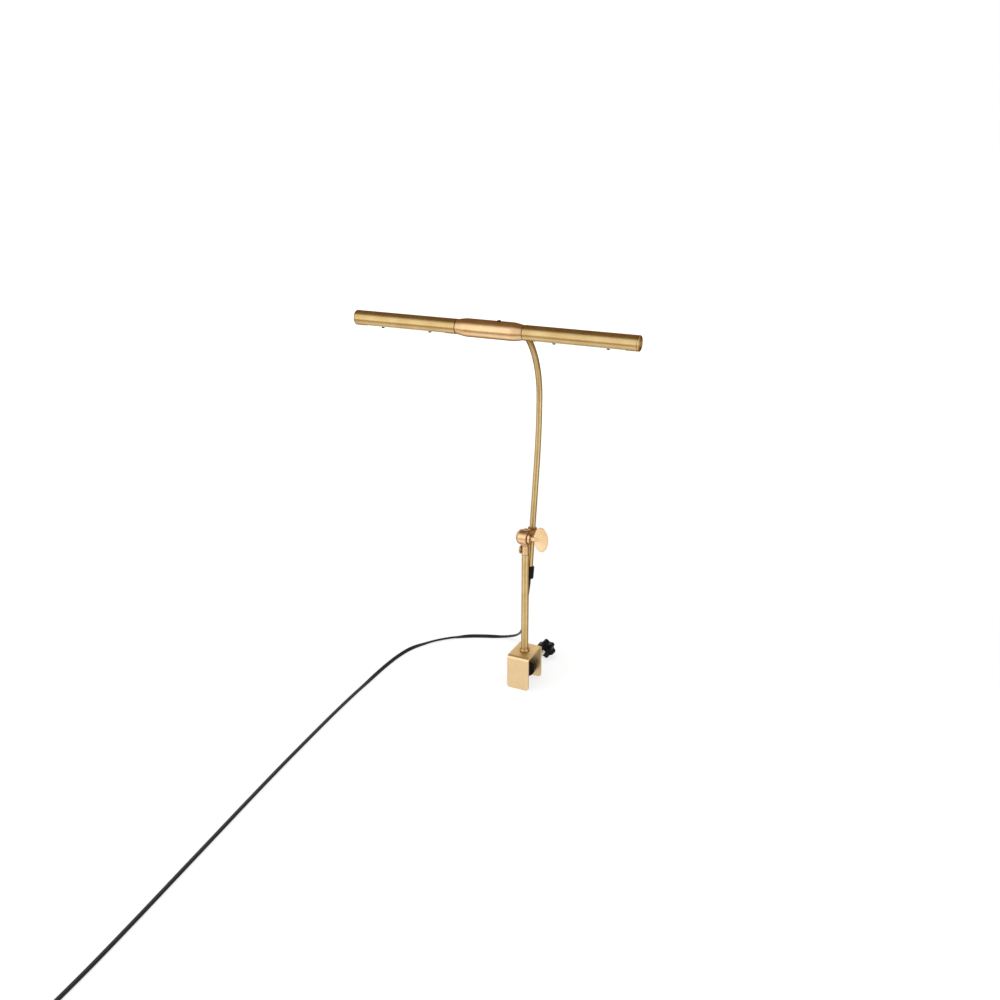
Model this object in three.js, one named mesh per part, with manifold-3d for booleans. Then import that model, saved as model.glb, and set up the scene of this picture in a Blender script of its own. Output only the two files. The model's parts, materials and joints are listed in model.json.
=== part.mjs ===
// Clamp-on piano lamp: a U bracket with a star knob carries a post, a locking pivot,
// a swan-neck arm and a light head with two turning shades. Lengths are millimetres.
import * as THREE from "three";
import { mergeVertices } from "three/addons/utils/BufferGeometryUtils.js";
import Module from "manifold-3d";

const wasm = await Module();
wasm.setup();

// Fits shared by the whole lamp
const gap = 0.3; // clearance left between two pieces that touch
const mergeDistance = 0.0003; // corners closer than this are one corner
const overrun = 1; // how far a cutting tool runs past the face it opens

// Facets
const roundSides = 32;
const fineSides = 20;
const screwSides = 14;
const bendSteps = 5;

// Clamp bracket: a bent strap with two jaws
const bracketWidth = 32;
const bracketDepth = 47;
const bracketHeight = 49.5;
const bracketThickness = 3;
const bracketBend = 4.5;
const jawCornerRadius = 4;
const linerWidth = 27;
const linerHeight = 36;
const linerThickness = 1.5;
const linerCorner = 3;
const linerFromJawEnd = 3;

// Clamp screw and pressure pad
const spindleRadius = 3;
const spindleDrop = 36; // below the bracket's top face
const spindleLength = 63;
const spindleNoseBevel = 0.8;
const bushRadius = 6;
const bushFlangeRadius = 8;
const bushFlangeThickness = 4;
const mouthOpening = 27.5; // between the liner and the pad
const padRadius = 10;
const padRubber = 2.5;
const padCup = 5;
const padCupDepth = 3;
const padEdge = 0.8;
const knobLobes = 6;
const knobLobeSteps = 8;
const knobMidRadius = 12.2;
const knobLobeHeight = 1.5;
const knobTurn = THREE.MathUtils.degToRad(20); // how far the lobes are turned
const knobThickness = 12;
const knobBevel = 1.6;
const knobHubRadius = 7.5;
const knobHubLength = 5;
const knobBoreDepth = 9;

// Post, its collar and its fixings
const postRadius = 5;
const postWall = 1.5;
const postHeight = 146;
const collarRadius = 6.9;
const collarNeck = 5.9;
const collarRim = 1.6;
const collarHeight = 3.8;
const plugLength = 14;
const postScrewRadius = 2.5;
const postScrewHeadRadius = 4.5;
const postScrewHead = 2.4;
const postScrewReach = 11;
const spigotRadius = 3.2;
const spigotInPost = 16;
const spigotInHousing = 12;

// Pivot housing, its axis along X at the top of the post
const pivotAbovePost = 24.7;
const housingRadius = 10.5;
const housingLeft = 12.8;
const housingDome = 7.6;
const housingRight = 4.2;
const housingFaceRadius = 9.2;
const housingShoulder = 1.4;
const lockScrewAbovePost = 6;
const lockScrewRadius = 2;
const lockKnobRadius = 6;
const lockKnobThickness = 2.4;
const lockKnobTeeth = 20;
const lockKnobToothSteps = 4;
const lockKnobTooth = 0.5;
const topScrewRadius = 1.5;
const topScrewHeadRadius = 2.8;
const topScrewHead = 1.8;
const thumbShankRadius = 3;
const thumbShankReach = 8; // left of the post axis
const frictionWasher = 0.8;
const frictionWasherRadius = 8.8;
const thumbWasher = 0.8;
const thumbWasherRadius = 6;
const thumbNeckRadius = 4.1;
const thumbNeckLength = 2.4;
const thumbRidgeLength = 12;
const thumbRidgeTip = 1.1;
const paddleWidth = 20.4;
const paddleHeight = 35;
const paddleThickness = 2;
const paddleBevel = 0.4;
const paddleSides = 36;

// Rod lug: a disc on the thumb screw and a barrel that the rod slides through
const lugDiscRadius = 8.2;
const lugDisc = 2.8;
const barrelRadius = 6.4;
const barrelAbove = 5;
const barrelBelow = 7;
const bushWall = 0.8;
const bushLip = 1;
const bushLipRadius = 5.9;
const webHeight = 9;

// Arm rod: straight, then a slow bend and two tighter ones that bring the head forward
const rodRadius = 4;
const rodBore = 2.6;
const rodOffset = 22; // behind the post at the pivot's height
const rodLean = THREE.MathUtils.degToRad(7.8);
const rodTail = 59.2; // below the pivot, along the rod
const rodStraight = 92.4; // above the pivot, along the rod
const slowBendRadius = 664;
const tightBendRadius = 118;
const tightBendEnd = THREE.MathUtils.degToRad(42.4);
const crownBendRadius = 85.1; // behind the head, where the rod comes over
const rodEndSlope = THREE.MathUtils.degToRad(80); // away from upright
const rodEndRun = 68.8;
const rodSteps = 52;
const rodSides = 14;
const glandRadius = 6.2;
const glandTaper = 0.25;
const glandLength = 17.5;
const glandGrip = 10.5;
const glandEdge = 0.7;

// Head: a centre housing with a shade turning on each end of it
const centreHalf = 42.6;
const centreRadius = 10.8;
const centreEndRadius = 8.6;
const centreTaper = 14;
const centreWall = 1.6;
const seam = 0.9; // dark line between the centre housing and a shade
const shadeRadius = 9;
const shadeWall = 1;
const shadeLength = 136.4;
const windowHalfWidth = 5.5;
const windowInset = 14;
const sleeveInCentre = 9;
const sleeveInShade = 13;
const sleeveBore = 4;
const endCap = 2;
const endCapDome = 0.6;
const endCapPlug = 6;
const carrierHalfWidth = 6.2;
const carrierTop = -1.8;
const carrierHeight = 2.8;
const boardHeight = 0.8;
const boardHalfWidth = 4;
const diffuserRadius = 8.8;
const diffuserInset = 0.4;
const coverScrewInsets = [36.5, 34.9]; // from the shade's inner and outer end
const coverScrewRadius = 1.2;
const coverScrewHeadRadius = 2.1;
const coverScrewHead = 1.3;
const rodNutRadius = 5.8;
const rodNutThickness = 3.5;
const rodNutSides = 6;
const rodNutPlace = 6.6; // behind the head's axis
const switchPlace = 11.3; // to the right of the middle
const switchBody = 8;
const switchBodyHeight = 5;
const switchBodyTop = 7.9; // above the head's axis
const buttonRadius = 2.1;
const buttonProud = 1.1;
const buttonDepth = 2.9; // below the top of the switch body
const buttonTravel = 0.8;
const buttonEdge = 0.4;
const driverInset = 12.6; // from the end of the centre housing
const driverHalfWidth = 7.2;
const driverThickness = 1.2;
const driverDrop = 4; // below the head's axis
const driverFromMiddle = 8;

// Flat twin lead
const cordWidth = 5.4;
const cordThickness = 3.2;
const cordSides = 8;
const cordStep = 2.6; // in cord widths
const cordMostSteps = 80;
const leadRise = 1.6; // where the hanging lead meets the ground
const coilTurnsPerLayer = 1.75;
const coilSteps = 24;
const coilSides = 6;
const coilGap = 0.55; // between two neighbouring turns
const coilMiddleRadius = 28.5;
const coilCentre = [-112, -804];
const coilDip = 0.6; // how far the climb runs inside the spiral, in pitches
const coilDipTurns = 0.5; // on each side of the reversal
const coilClimbTurns = 0.17; // on each side of the reversal
const tieThickness = 0.8;
const tieWidth = 5;
const tieTurn = 0.25; // turns after the coil's start
const plugWidth = 26;
const plugHeight = 13.4;
const plugBodyLength = 24;
const plugNose = 15;
const plugCorner = 3;
const plugReliefLength = 26;
const plugReliefRadius = 4.6;
const plugReliefTip = 3.3;
const pinRadius = 2;
const pinLength = 19;
const pinSpacing = 18.6;

// Finishes
const brass = { color: 0xc9a45a, roughness: 0.38, metalness: 1 };
const rosyBrass = { color: 0xd2a679, roughness: 0.3, metalness: 1 };
const paleBrass = { color: 0xd3b07a, roughness: 0.45, metalness: 1 };
const steel = { color: 0xb9b9b5, roughness: 0.4, metalness: 1 };
const blackPlastic = { color: 0x141414, roughness: 0.45, metalness: 0 };
const blackRubber = { color: 0x1b1b1c, roughness: 0.8, metalness: 0 };
const blackLead = { color: 0x202122, roughness: 0.5, metalness: 0 };
const opal = { color: 0xf1efe8, roughness: 0.5, metalness: 0 };
const whiteNylon = { color: 0xe6e2d8, roughness: 0.6, metalness: 0 };
const boardWhite = { color: 0xe9eae6, roughness: 0.6, metalness: 0 };
const boardGreen = { color: 0x1f5b3a, roughness: 0.6, metalness: 0 };
const fibreRed = { color: 0x7a3b2a, roughness: 0.8, metalness: 0 };

// Places that follow from the sizes
const pivotHeight = postHeight + pivotAbovePost;
const lockScrewHeight = postHeight + lockScrewAbovePost;
const jawInside = bracketDepth / 2 - bracketThickness;
const linerFace = -jawInside + gap + linerThickness;
const padFace = linerFace + mouthOpening;
const cupFront = padFace + padRubber + gap;
const spindleNose = cupFront + padCup - padCupDepth + gap;
const knobFront = spindleNose + spindleLength - knobBoreDepth;
const linerMiddle = -bracketHeight + linerFromJawEnd + linerHeight / 2;
const lugFace = housingRight + gap + frictionWasher + gap;
const lugOuter = lugFace + lugDisc;
const neckStart = lugOuter + gap + thumbWasher + gap;
const neckEnd = neckStart + thumbNeckLength;
const rodDirection = new THREE.Vector3(0, Math.sin(rodLean), Math.cos(rodLean));
const rodEndDirection = new THREE.Vector3(0, -Math.sin(rodEndSlope), Math.cos(rodEndSlope));
const rodAtPivot = new THREE.Vector3(0, rodOffset, pivotHeight);
const bushOuter = rodRadius + gap + bushWall;
const driverLength = centreHalf - driverInset - driverFromMiddle;
const shadeStart = centreHalf + seam;
const shadeEnd = shadeStart + shadeLength;
const coverScrewPlaces = [shadeStart + coverScrewInsets[0], shadeEnd - coverScrewInsets[1]];
const sleeveCentreRadius = centreEndRadius - centreWall - gap;
const sleeveShadeRadius = shadeRadius - shadeWall - gap;
const boardTop = carrierTop - carrierHeight - gap;
const diffuserTop = boardTop - boardHeight - gap;

// Geometry helpers

// The same surface with only merged positions, as the boolean library wants it.
function bare(geometry) {
  const copy = geometry.clone();
  for (const name of Object.keys(copy.attributes)) {
    if (name !== "position") copy.deleteAttribute(name);
  }
  copy.clearGroups();
  return mergeVertices(copy, mergeDistance);
}

function solid(geometry) {
  const merged = bare(geometry);
  return new wasm.Manifold(
    new wasm.Mesh({
      numProp: 3,
      vertProperties: new Float32Array(merged.attributes.position.array),
      triVerts: new Uint32Array(merged.index.array),
    }),
  );
}

function geometryOf(body) {
  const mesh = body.getMesh();
  const geometry = new THREE.BufferGeometry();
  geometry.setAttribute("position", new THREE.BufferAttribute(mesh.vertProperties, 3));
  geometry.setIndex(new THREE.BufferAttribute(mesh.triVerts, 1));
  const facets = geometry.toNonIndexed();
  facets.computeVertexNormals();
  return facets;
}

function cut(geometry, ...tools) {
  return geometryOf(tools.reduce((left, tool) => left.subtract(solid(tool)), solid(geometry)));
}

function join(geometry, ...others) {
  return geometryOf(others.reduce((whole, other) => whole.add(solid(other)), solid(geometry)));
}

function common(geometry, other) {
  return geometryOf(solid(geometry).intersect(solid(other)));
}

// A turned solid about Z from [radius, height] pairs that start and end on the axis.
function turned(profile, sides = roundSides) {
  const points = profile.map(([radius, height]) => new THREE.Vector2(radius, height));
  return new THREE.LatheGeometry(points, sides).rotateX(Math.PI / 2);
}

// A turned ring about Z whose profile closes on itself.
function turnedRing(profile, sides = roundSides) {
  return turned([...profile, profile[0]], sides);
}

function disc(radius, low, high, sides = roundSides) {
  return turned([[0, low], [radius, low], [radius, high], [0, high]], sides);
}

function ring(inner, outer, low, high, sides = roundSides) {
  return turnedRing([[inner, low], [outer, low], [outer, high], [inner, high]], sides);
}

// Turns something made about Z so that its Z runs along X or Y.
const alongX = (geometry) => geometry.rotateY(Math.PI / 2);
const alongY = (geometry) => geometry.rotateX(-Math.PI / 2);
const alongRodEnd = (geometry) => geometry.rotateX(Math.PI + rodEndSlope); // back from the head

function box(width, depth, height) {
  return new THREE.BoxGeometry(width, depth, height);
}

function roundedRectangle(width, height, radius) {
  const w = width / 2;
  const h = height / 2;
  const outline = new THREE.Shape();
  outline.moveTo(-w + radius, -h);
  outline.lineTo(w - radius, -h);
  outline.absarc(w - radius, -h + radius, radius, -Math.PI / 2, 0, false);
  outline.lineTo(w, h - radius);
  outline.absarc(w - radius, h - radius, radius, 0, Math.PI / 2, false);
  outline.lineTo(-w + radius, h);
  outline.absarc(-w + radius, h - radius, radius, Math.PI / 2, Math.PI, false);
  outline.lineTo(-w, -h + radius);
  outline.absarc(-w + radius, -h + radius, radius, Math.PI, Math.PI * 1.5, false);
  return outline;
}

function extruded(outline, depth, options = {}) {
  const settings = { depth, bevelEnabled: false, curveSegments: bendSteps, ...options };
  return new THREE.ExtrudeGeometry(outline, settings);
}

// Puts a solid made about Z at the pivot's height onto the leaning rod.
function onRod(geometry) {
  return geometry.rotateX(-rodLean).translate(rodAtPivot.x, rodAtPivot.y, rodAtPivot.z);
}

const lamp = new THREE.Group();

function add(name, geometry, finish, parent = lamp) {
  const mesh = new THREE.Mesh(geometry, new THREE.MeshStandardMaterial(finish));
  mesh.name = name;
  parent.add(mesh);
  return mesh;
}

// Clamp

function bracketGeometry() {
  const half = bracketDepth / 2;
  const inner = bracketBend - bracketThickness;
  const outline = new THREE.Shape();
  outline.moveTo(-half, -bracketHeight);
  outline.lineTo(-half + bracketThickness, -bracketHeight);
  outline.lineTo(-half + bracketThickness, -bracketBend);
  outline.absarc(-half + bracketBend, -bracketBend, inner, Math.PI, Math.PI / 2, true);
  outline.lineTo(half - bracketBend, -bracketThickness);
  outline.absarc(half - bracketBend, -bracketBend, inner, Math.PI / 2, 0, true);
  outline.lineTo(half - bracketThickness, -bracketHeight);
  outline.lineTo(half, -bracketHeight);
  outline.lineTo(half, -bracketBend);
  outline.absarc(half - bracketBend, -bracketBend, bracketBend, 0, Math.PI / 2, false);
  outline.lineTo(-half + bracketBend, 0);
  outline.absarc(-half + bracketBend, -bracketBend, bracketBend, Math.PI / 2, Math.PI, false);
  const strap = extruded(outline, bracketWidth)
    .translate(0, 0, -bracketWidth / 2)
    .applyMatrix4(new THREE.Matrix4().set(0, 0, 1, 0, 1, 0, 0, 0, 0, 1, 0, 0, 0, 0, 0, 1));
  const tall = bracketHeight + jawCornerRadius + overrun;
  const front = extruded(
    roundedRectangle(bracketWidth, tall, jawCornerRadius),
    bracketDepth + 2 * overrun,
  )
    .rotateX(Math.PI / 2)
    .translate(0, bracketDepth / 2 + overrun, -bracketHeight + tall / 2);
  const screwHole = disc(postScrewRadius + gap, -bracketThickness - overrun, overrun, screwSides);
  const bushHole = alongY(
    disc(bushRadius + gap, jawInside - overrun, bracketDepth / 2 + overrun, fineSides),
  ).translate(0, 0, -spindleDrop);
  return cut(common(strap, front), screwHole, bushHole);
}

function linerGeometry() {
  return extruded(roundedRectangle(linerWidth, linerHeight, linerCorner), linerThickness)
    .rotateX(Math.PI / 2)
    .translate(0, linerFace, linerMiddle);
}

function bushGeometry() {
  const bore = spindleRadius + gap;
  const back = bracketDepth / 2 + gap;
  return alongY(
    turnedRing(
      [
        [bore, jawInside],
        [bushRadius, jawInside],
        [bushRadius, back],
        [bushFlangeRadius, back],
        [bushFlangeRadius, back + bushFlangeThickness],
        [bore, back + bushFlangeThickness],
      ],
      fineSides,
    ),
  ).translate(0, 0, -spindleDrop);
}

function spindleGeometry() {
  const end = spindleNose + spindleLength;
  return alongY(
    turned(
      [
        [0, spindleNose],
        [spindleRadius - spindleNoseBevel, spindleNose],
        [spindleRadius, spindleNose + spindleNoseBevel],
        [spindleRadius, end],
        [0, end],
      ],
      screwSides,
    ),
  ).translate(0, 0, -spindleDrop);
}

function starOutline(lobes, steps, middle, lobeHeight) {
  const outline = new THREE.Shape();
  const count = lobes * steps;
  for (let i = 0; i < count; i++) {
    const angle = (2 * Math.PI * i) / count;
    const radius = middle + lobeHeight * Math.cos(lobes * angle);
    const point = [radius * Math.cos(angle), radius * Math.sin(angle)];
    if (i === 0) outline.moveTo(...point);
    else outline.lineTo(...point);
  }
  return outline;
}

function knobGeometry() {
  const flat = knobThickness - 2 * knobBevel;
  const star = extruded(
    starOutline(knobLobes, knobLobeSteps, knobMidRadius - knobBevel, knobLobeHeight),
    flat,
    { bevelEnabled: true, bevelThickness: knobBevel, bevelSize: knobBevel, bevelSegments: 2 },
  )
    .rotateZ(knobTurn)
    .translate(0, 0, knobFront + knobHubLength + knobBevel);
  const hub = disc(knobHubRadius, knobFront, knobFront + knobHubLength + knobBevel, fineSides);
  const boreEnd = spindleNose + spindleLength + gap;
  const bore = disc(spindleRadius + gap, knobFront - overrun, boreEnd, screwSides);
  return alongY(cut(join(star, hub), bore)).translate(0, 0, -spindleDrop);
}

function padGeometry() {
  return alongY(
    turned(
      [
        [0, padFace],
        [padRadius - padEdge, padFace],
        [padRadius, padFace + padEdge],
        [padRadius, padFace + padRubber],
        [0, padFace + padRubber],
      ],
      fineSides,
    ),
  ).translate(0, 0, -spindleDrop);
}

function cupGeometry() {
  const back = cupFront + padCup;
  const body = turned(
    [
      [0, cupFront],
      [padRadius, cupFront],
      [padRadius, back - padEdge],
      [padRadius - padEdge, back],
      [0, back],
    ],
    fineSides,
  );
  const socket = disc(spindleRadius + gap, back - padCupDepth, back + overrun, screwSides);
  return alongY(cut(body, socket)).translate(0, 0, -spindleDrop);
}

add("clamp_bracket", bracketGeometry(), paleBrass);
add("jaw_liner", linerGeometry(), blackRubber);
add("thread_bush", bushGeometry(), steel);
add("clamp_spindle", spindleGeometry(), steel);
add("star_knob", knobGeometry(), blackPlastic);
add("pad_rubber", padGeometry(), blackRubber);
add("pad_cup", cupGeometry(), blackPlastic);

// Post

function collarGeometry() {
  const bore = postRadius + gap;
  return turnedRing([
    [bore, gap],
    [collarRadius, gap],
    [collarRadius, collarRim],
    [(collarRadius + collarNeck) / 2, (collarRim + collarHeight) / 2],
    [collarNeck, collarHeight],
    [bore, collarHeight],
  ]);
}

function postScrewGeometry() {
  const under = -bracketThickness - gap;
  return turned(
    [
      [0, under - postScrewHead],
      [postScrewHeadRadius, under - postScrewHead],
      [postScrewHeadRadius, under],
      [postScrewRadius, under],
      [postScrewRadius, postScrewReach],
      [0, postScrewReach],
    ],
    screwSides,
  );
}

const postBore = postRadius - postWall;
add("post_collar", collarGeometry(), paleBrass);
add("post_tube", ring(postBore, postRadius, gap, postHeight, fineSides), brass);
add(
  "post_plug",
  ring(postScrewRadius + gap, postBore - gap, gap, plugLength, screwSides),
  steel,
);
add("post_screw", postScrewGeometry(), steel);
add(
  "post_spigot",
  disc(spigotRadius, postHeight - spigotInPost, postHeight + spigotInHousing, screwSides),
  steel,
);

// Pivot

function housingGeometry() {
  const profile = [];
  for (let i = 0; i <= bendSteps * 2; i++) {
    const angle = (Math.PI / 2) * (i / (bendSteps * 2));
    profile.push([
      housingRadius * Math.sin(angle),
      -housingLeft + housingDome * (1 - Math.cos(angle)),
    ]);
  }
  profile.push([housingRadius, housingRight - housingShoulder]);
  profile.push([housingFaceRadius, housingRight], [0, housingRight]);
  const ball = alongX(turned(profile)).translate(0, 0, pivotHeight);
  const stem = disc(postRadius, postHeight + gap, pivotHeight, fineSides);
  const spotFace = alongX(
    disc(housingFaceRadius, housingRight, postRadius + overrun),
  ).translate(0, 0, pivotHeight);
  const spigotHole = disc(
    spigotRadius + gap,
    postHeight - overrun,
    postHeight + spigotInHousing + gap,
    screwSides,
  );
  const thumbHole = alongX(
    disc(thumbShankRadius + gap, -thumbShankReach - gap, housingRight + overrun, screwSides),
  ).translate(0, 0, pivotHeight);
  const lockHole = alongX(
    disc(lockScrewRadius + gap, -postRadius - overrun, 0, screwSides),
  ).translate(0, 0, lockScrewHeight);
  const topHole = disc(
    topScrewRadius + gap,
    pivotHeight,
    pivotHeight + housingRadius + overrun,
    screwSides,
  );
  const body = cut(join(ball, stem), spotFace);
  return cut(body, spigotHole, thumbHole, lockHole, topHole);
}

function topScrewGeometry() {
  const seat = pivotHeight + housingRadius + gap;
  return turned(
    [
      [0, pivotHeight + thumbShankRadius + gap],
      [topScrewRadius, pivotHeight + thumbShankRadius + gap],
      [topScrewRadius, seat],
      [topScrewHeadRadius, seat],
      [topScrewHeadRadius, seat + topScrewHead / 3],
      [topScrewHeadRadius * Math.SQRT1_2, seat + topScrewHead],
      [0, seat + topScrewHead],
    ],
    screwSides,
  );
}

function lockScrewGeometry() {
  const seat = -postRadius - 2 * gap;
  const knob = extruded(
    starOutline(lockKnobTeeth, lockKnobToothSteps, lockKnobRadius - lockKnobTooth, lockKnobTooth),
    lockKnobThickness,
  ).translate(0, 0, seat - lockKnobThickness);
  const shank = disc(lockScrewRadius, seat - lockKnobThickness / 2, -spigotRadius - gap, screwSides);
  return alongX(join(knob, shank)).translate(0, 0, lockScrewHeight);
}

function paddleGeometry() {
  const outline = new THREE.Shape();
  const size = [paddleWidth / 2 - paddleBevel, paddleHeight / 2 - paddleBevel];
  outline.absellipse(0, 0, ...size, 0, 2 * Math.PI, false, 0);
  return extruded(outline, paddleThickness - 2 * paddleBevel, {
    bevelEnabled: true,
    bevelThickness: paddleBevel,
    bevelSize: paddleBevel,
    bevelSegments: 1,
    curveSegments: paddleSides,
  })
    .rotateX(Math.PI / 2)
    .translate(neckEnd + paddleWidth / 2, paddleThickness / 2 - paddleBevel, 0);
}

function thumbScrewGeometry() {
  const stem = alongX(
    turned(
      [
        [0, -thumbShankReach],
        [thumbShankRadius, -thumbShankReach],
        [thumbShankRadius, neckStart],
        [thumbNeckRadius, neckStart],
        [thumbNeckRadius, neckEnd],
        [thumbRidgeTip, neckEnd + thumbRidgeLength],
        [0, neckEnd + thumbRidgeLength],
      ],
      screwSides,
    ),
  );
  return join(paddleGeometry(), stem).translate(0, 0, pivotHeight);
}

function washerGeometry(radius, start, thickness) {
  const hole = thumbShankRadius + gap;
  return alongX(ring(hole, radius, start, start + thickness, fineSides)).translate(0, 0, pivotHeight);
}

add("pivot_housing", housingGeometry(), rosyBrass);
add("top_screw", topScrewGeometry(), rosyBrass);
add("swivel_lock_screw", lockScrewGeometry(), rosyBrass);
add("thumb_screw", thumbScrewGeometry(), rosyBrass);
add(
  "friction_washer",
  washerGeometry(frictionWasherRadius, housingRight + gap, frictionWasher),
  fibreRed,
);
add("thumb_washer", washerGeometry(thumbWasherRadius, lugOuter + gap, thumbWasher), steel);

// Rod lug and its bush

// The lug's side plate: the disc and the barrel's end, wrapped by two straight edges.
function lugPlateOutline() {
  const rise = Math.asin((lugDiscRadius - barrelAbove) / rodOffset);
  const start = Math.PI / 2 - rise;
  const outline = new THREE.Shape();
  outline.absarc(0, 0, lugDiscRadius, start, -start, false);
  outline.absarc(rodOffset, 0, barrelAbove, -start, start, false);
  return outline;
}

function lugGeometry() {
  const intoLamp = new THREE.Matrix4().set(0, 0, 1, 0, 1, 0, 0, 0, 0, 1, 0, 0, 0, 0, 0, 1);
  const plate = extruded(lugPlateOutline(), lugDisc, { curveSegments: bendSteps * 4 })
    .applyMatrix4(intoLamp)
    .translate(lugFace, 0, pivotHeight);
  const webDepth = rodOffset - housingRadius - lugDisc;
  const web = box(lugOuter, webDepth, webHeight).translate(
    lugOuter / 2,
    rodOffset - webDepth / 2,
    pivotHeight,
  );
  const barrel = onRod(disc(barrelRadius, -barrelBelow, barrelAbove, fineSides));
  const bore = onRod(
    disc(bushOuter + gap, -barrelBelow - overrun, barrelAbove + overrun, fineSides),
  );
  const screwHole = alongX(
    disc(thumbShankRadius + gap, lugFace - overrun, lugOuter + overrun, screwSides),
  ).translate(0, 0, pivotHeight);
  return cut(join(plate, web, barrel), bore, screwHole);
}

function rodBushGeometry() {
  const bore = rodRadius + gap;
  const seat = barrelAbove + gap;
  return onRod(
    turnedRing(
      [
        [bore, -barrelBelow],
        [bushOuter, -barrelBelow],
        [bushOuter, seat],
        [bushLipRadius, seat],
        [bushLipRadius, seat + bushLip],
        [bore, seat + bushLip],
      ],
      fineSides,
    ),
  );
}

add("rod_lug", lugGeometry(), rosyBrass);
add("rod_bush", rodBushGeometry(), whiteNylon);

// Arm rod

// The rod's centreline by length: a straight tail, three bends and a straight end.
class RodLine extends THREE.Curve {
  constructor() {
    super();
    this.straightLength = rodTail + rodStraight;
    this.start = rodAtPivot.clone().addScaledVector(rodDirection, -rodTail);
    this.end = this.start.clone().addScaledVector(rodDirection, this.straightLength);
    this.total = this.straightLength + rodEndRun;
    this.bends = [
      { radius: slowBendRadius, low: -rodLean, high: 0 },
      { radius: tightBendRadius, low: 0, high: tightBendEnd },
      { radius: crownBendRadius, low: tightBendEnd, high: rodEndSlope },
    ];
    for (const bend of this.bends) {
      bend.start = this.end;
      bend.length = bend.radius * (bend.high - bend.low);
      this.end = this.bent(bend, bend.high);
      this.total += bend.length;
    }
  }

  // The point that a bend reaches where its slope away from upright is `angle`.
  bent({ start, radius, low }, angle) {
    return new THREE.Vector3(
      0,
      start.y + radius * (Math.cos(angle) - Math.cos(low)),
      start.z + radius * (Math.sin(angle) - Math.sin(low)),
    );
  }

  getPoint(t, target = new THREE.Vector3()) {
    let left = t * this.total;
    if (left <= this.straightLength) {
      return target.copy(this.start).addScaledVector(rodDirection, left);
    }
    left -= this.straightLength;
    for (const bend of this.bends) {
      if (left <= bend.length) {
        return target.copy(this.bent(bend, bend.low + left / bend.radius));
      }
      left -= bend.length;
    }
    return target.copy(this.end).addScaledVector(rodEndDirection, left);
  }
}

const rodLine = new RodLine();
const headCentre = rodLine.end.clone().addScaledVector(rodEndDirection, rodEndRun + gap);

function rodGeometry() {
  const section = new THREE.Shape();
  section.absarc(0, 0, rodRadius, 0, 2 * Math.PI, false);
  const bore = new THREE.Path();
  bore.absarc(0, 0, rodBore, 0, 2 * Math.PI, true);
  section.holes.push(bore);
  return extruded(section, 0, {
    steps: rodSteps,
    extrudePath: rodLine,
    curveSegments: rodSides,
  });
}

function glandGeometry() {
  const top = -rodTail + glandGrip;
  const foot = top - glandLength;
  const tip = glandRadius - glandTaper;
  const body = turned(
    [
      [0, foot],
      [tip - glandEdge, foot],
      [tip, foot + glandEdge],
      [glandRadius, top - glandEdge],
      [glandRadius - glandEdge, top],
      [0, top],
    ],
    fineSides,
  );
  const socket = disc(rodRadius + gap, -rodTail - gap, top + overrun, rodSides);
  return onRod(cut(body, socket));
}

add("arm_rod", rodGeometry(), brass);
add("cable_gland", glandGeometry(), blackPlastic);

// Head, made about its own axis along X and moved to the rod's end

const head = new THREE.Group();
head.position.copy(headCentre);
lamp.add(head);

function centreGeometry() {
  const inner = centreRadius - centreWall;
  const shell = alongX(
    turnedRing([
      [centreEndRadius, -centreHalf],
      [centreRadius, -centreHalf + centreTaper],
      [centreRadius, centreHalf - centreTaper],
      [centreEndRadius, centreHalf],
      [centreEndRadius - centreWall, centreHalf],
      [inner, centreHalf - centreTaper],
      [inner, -centreHalf + centreTaper],
      [centreEndRadius - centreWall, -centreHalf],
    ]),
  );
  const rodHole = alongRodEnd(disc(rodRadius + gap, 0, centreRadius + overrun, fineSides));
  const buttonHole = disc(buttonRadius + gap, 0, centreRadius + overrun, fineSides).translate(
    switchPlace,
    0,
    0,
  );
  return cut(shell, rodHole, buttonHole);
}

function sleeveGeometry(side) {
  const inCentre = centreHalf - sleeveInCentre;
  const step = centreHalf + gap;
  const profile = turnedRing(
    [
      [sleeveBore, inCentre],
      [sleeveCentreRadius, inCentre],
      [sleeveCentreRadius, step],
      [sleeveShadeRadius, step],
      [sleeveShadeRadius, step + sleeveInShade],
      [sleeveBore, step + sleeveInShade],
    ],
    fineSides,
  );
  const sleeve = alongX(profile);
  return side > 0 ? sleeve : sleeve.rotateZ(Math.PI);
}

function rodNutGeometry() {
  const nut = disc(rodNutRadius, 0, rodNutThickness, rodNutSides);
  const bore = disc(rodRadius + gap, -overrun, rodNutThickness + overrun, fineSides);
  return alongRodEnd(cut(nut, bore).translate(0, 0, rodNutPlace - rodNutThickness));
}

function switchBodyGeometry() {
  const body = box(switchBody, switchBody, switchBodyHeight).translate(
    switchPlace,
    0,
    switchBodyTop - switchBodyHeight / 2,
  );
  const well = disc(
    buttonRadius + gap,
    switchBodyTop - buttonDepth - buttonTravel - gap,
    switchBodyTop + overrun,
    fineSides,
  ).translate(switchPlace, 0, 0);
  return cut(body, well);
}

function buttonGeometry() {
  const top = centreRadius + buttonProud;
  return turned(
    [
      [0, switchBodyTop - buttonDepth],
      [buttonRadius, switchBodyTop - buttonDepth],
      [buttonRadius, top - buttonEdge],
      [buttonRadius - buttonEdge, top],
      [0, top],
    ],
    fineSides,
  ).translate(switchPlace, 0, 0);
}

function driverGeometry() {
  return box(driverLength, 2 * driverHalfWidth, driverThickness).translate(
    -driverFromMiddle - driverLength / 2,
    0,
    -driverDrop - driverThickness / 2,
  );
}

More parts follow.
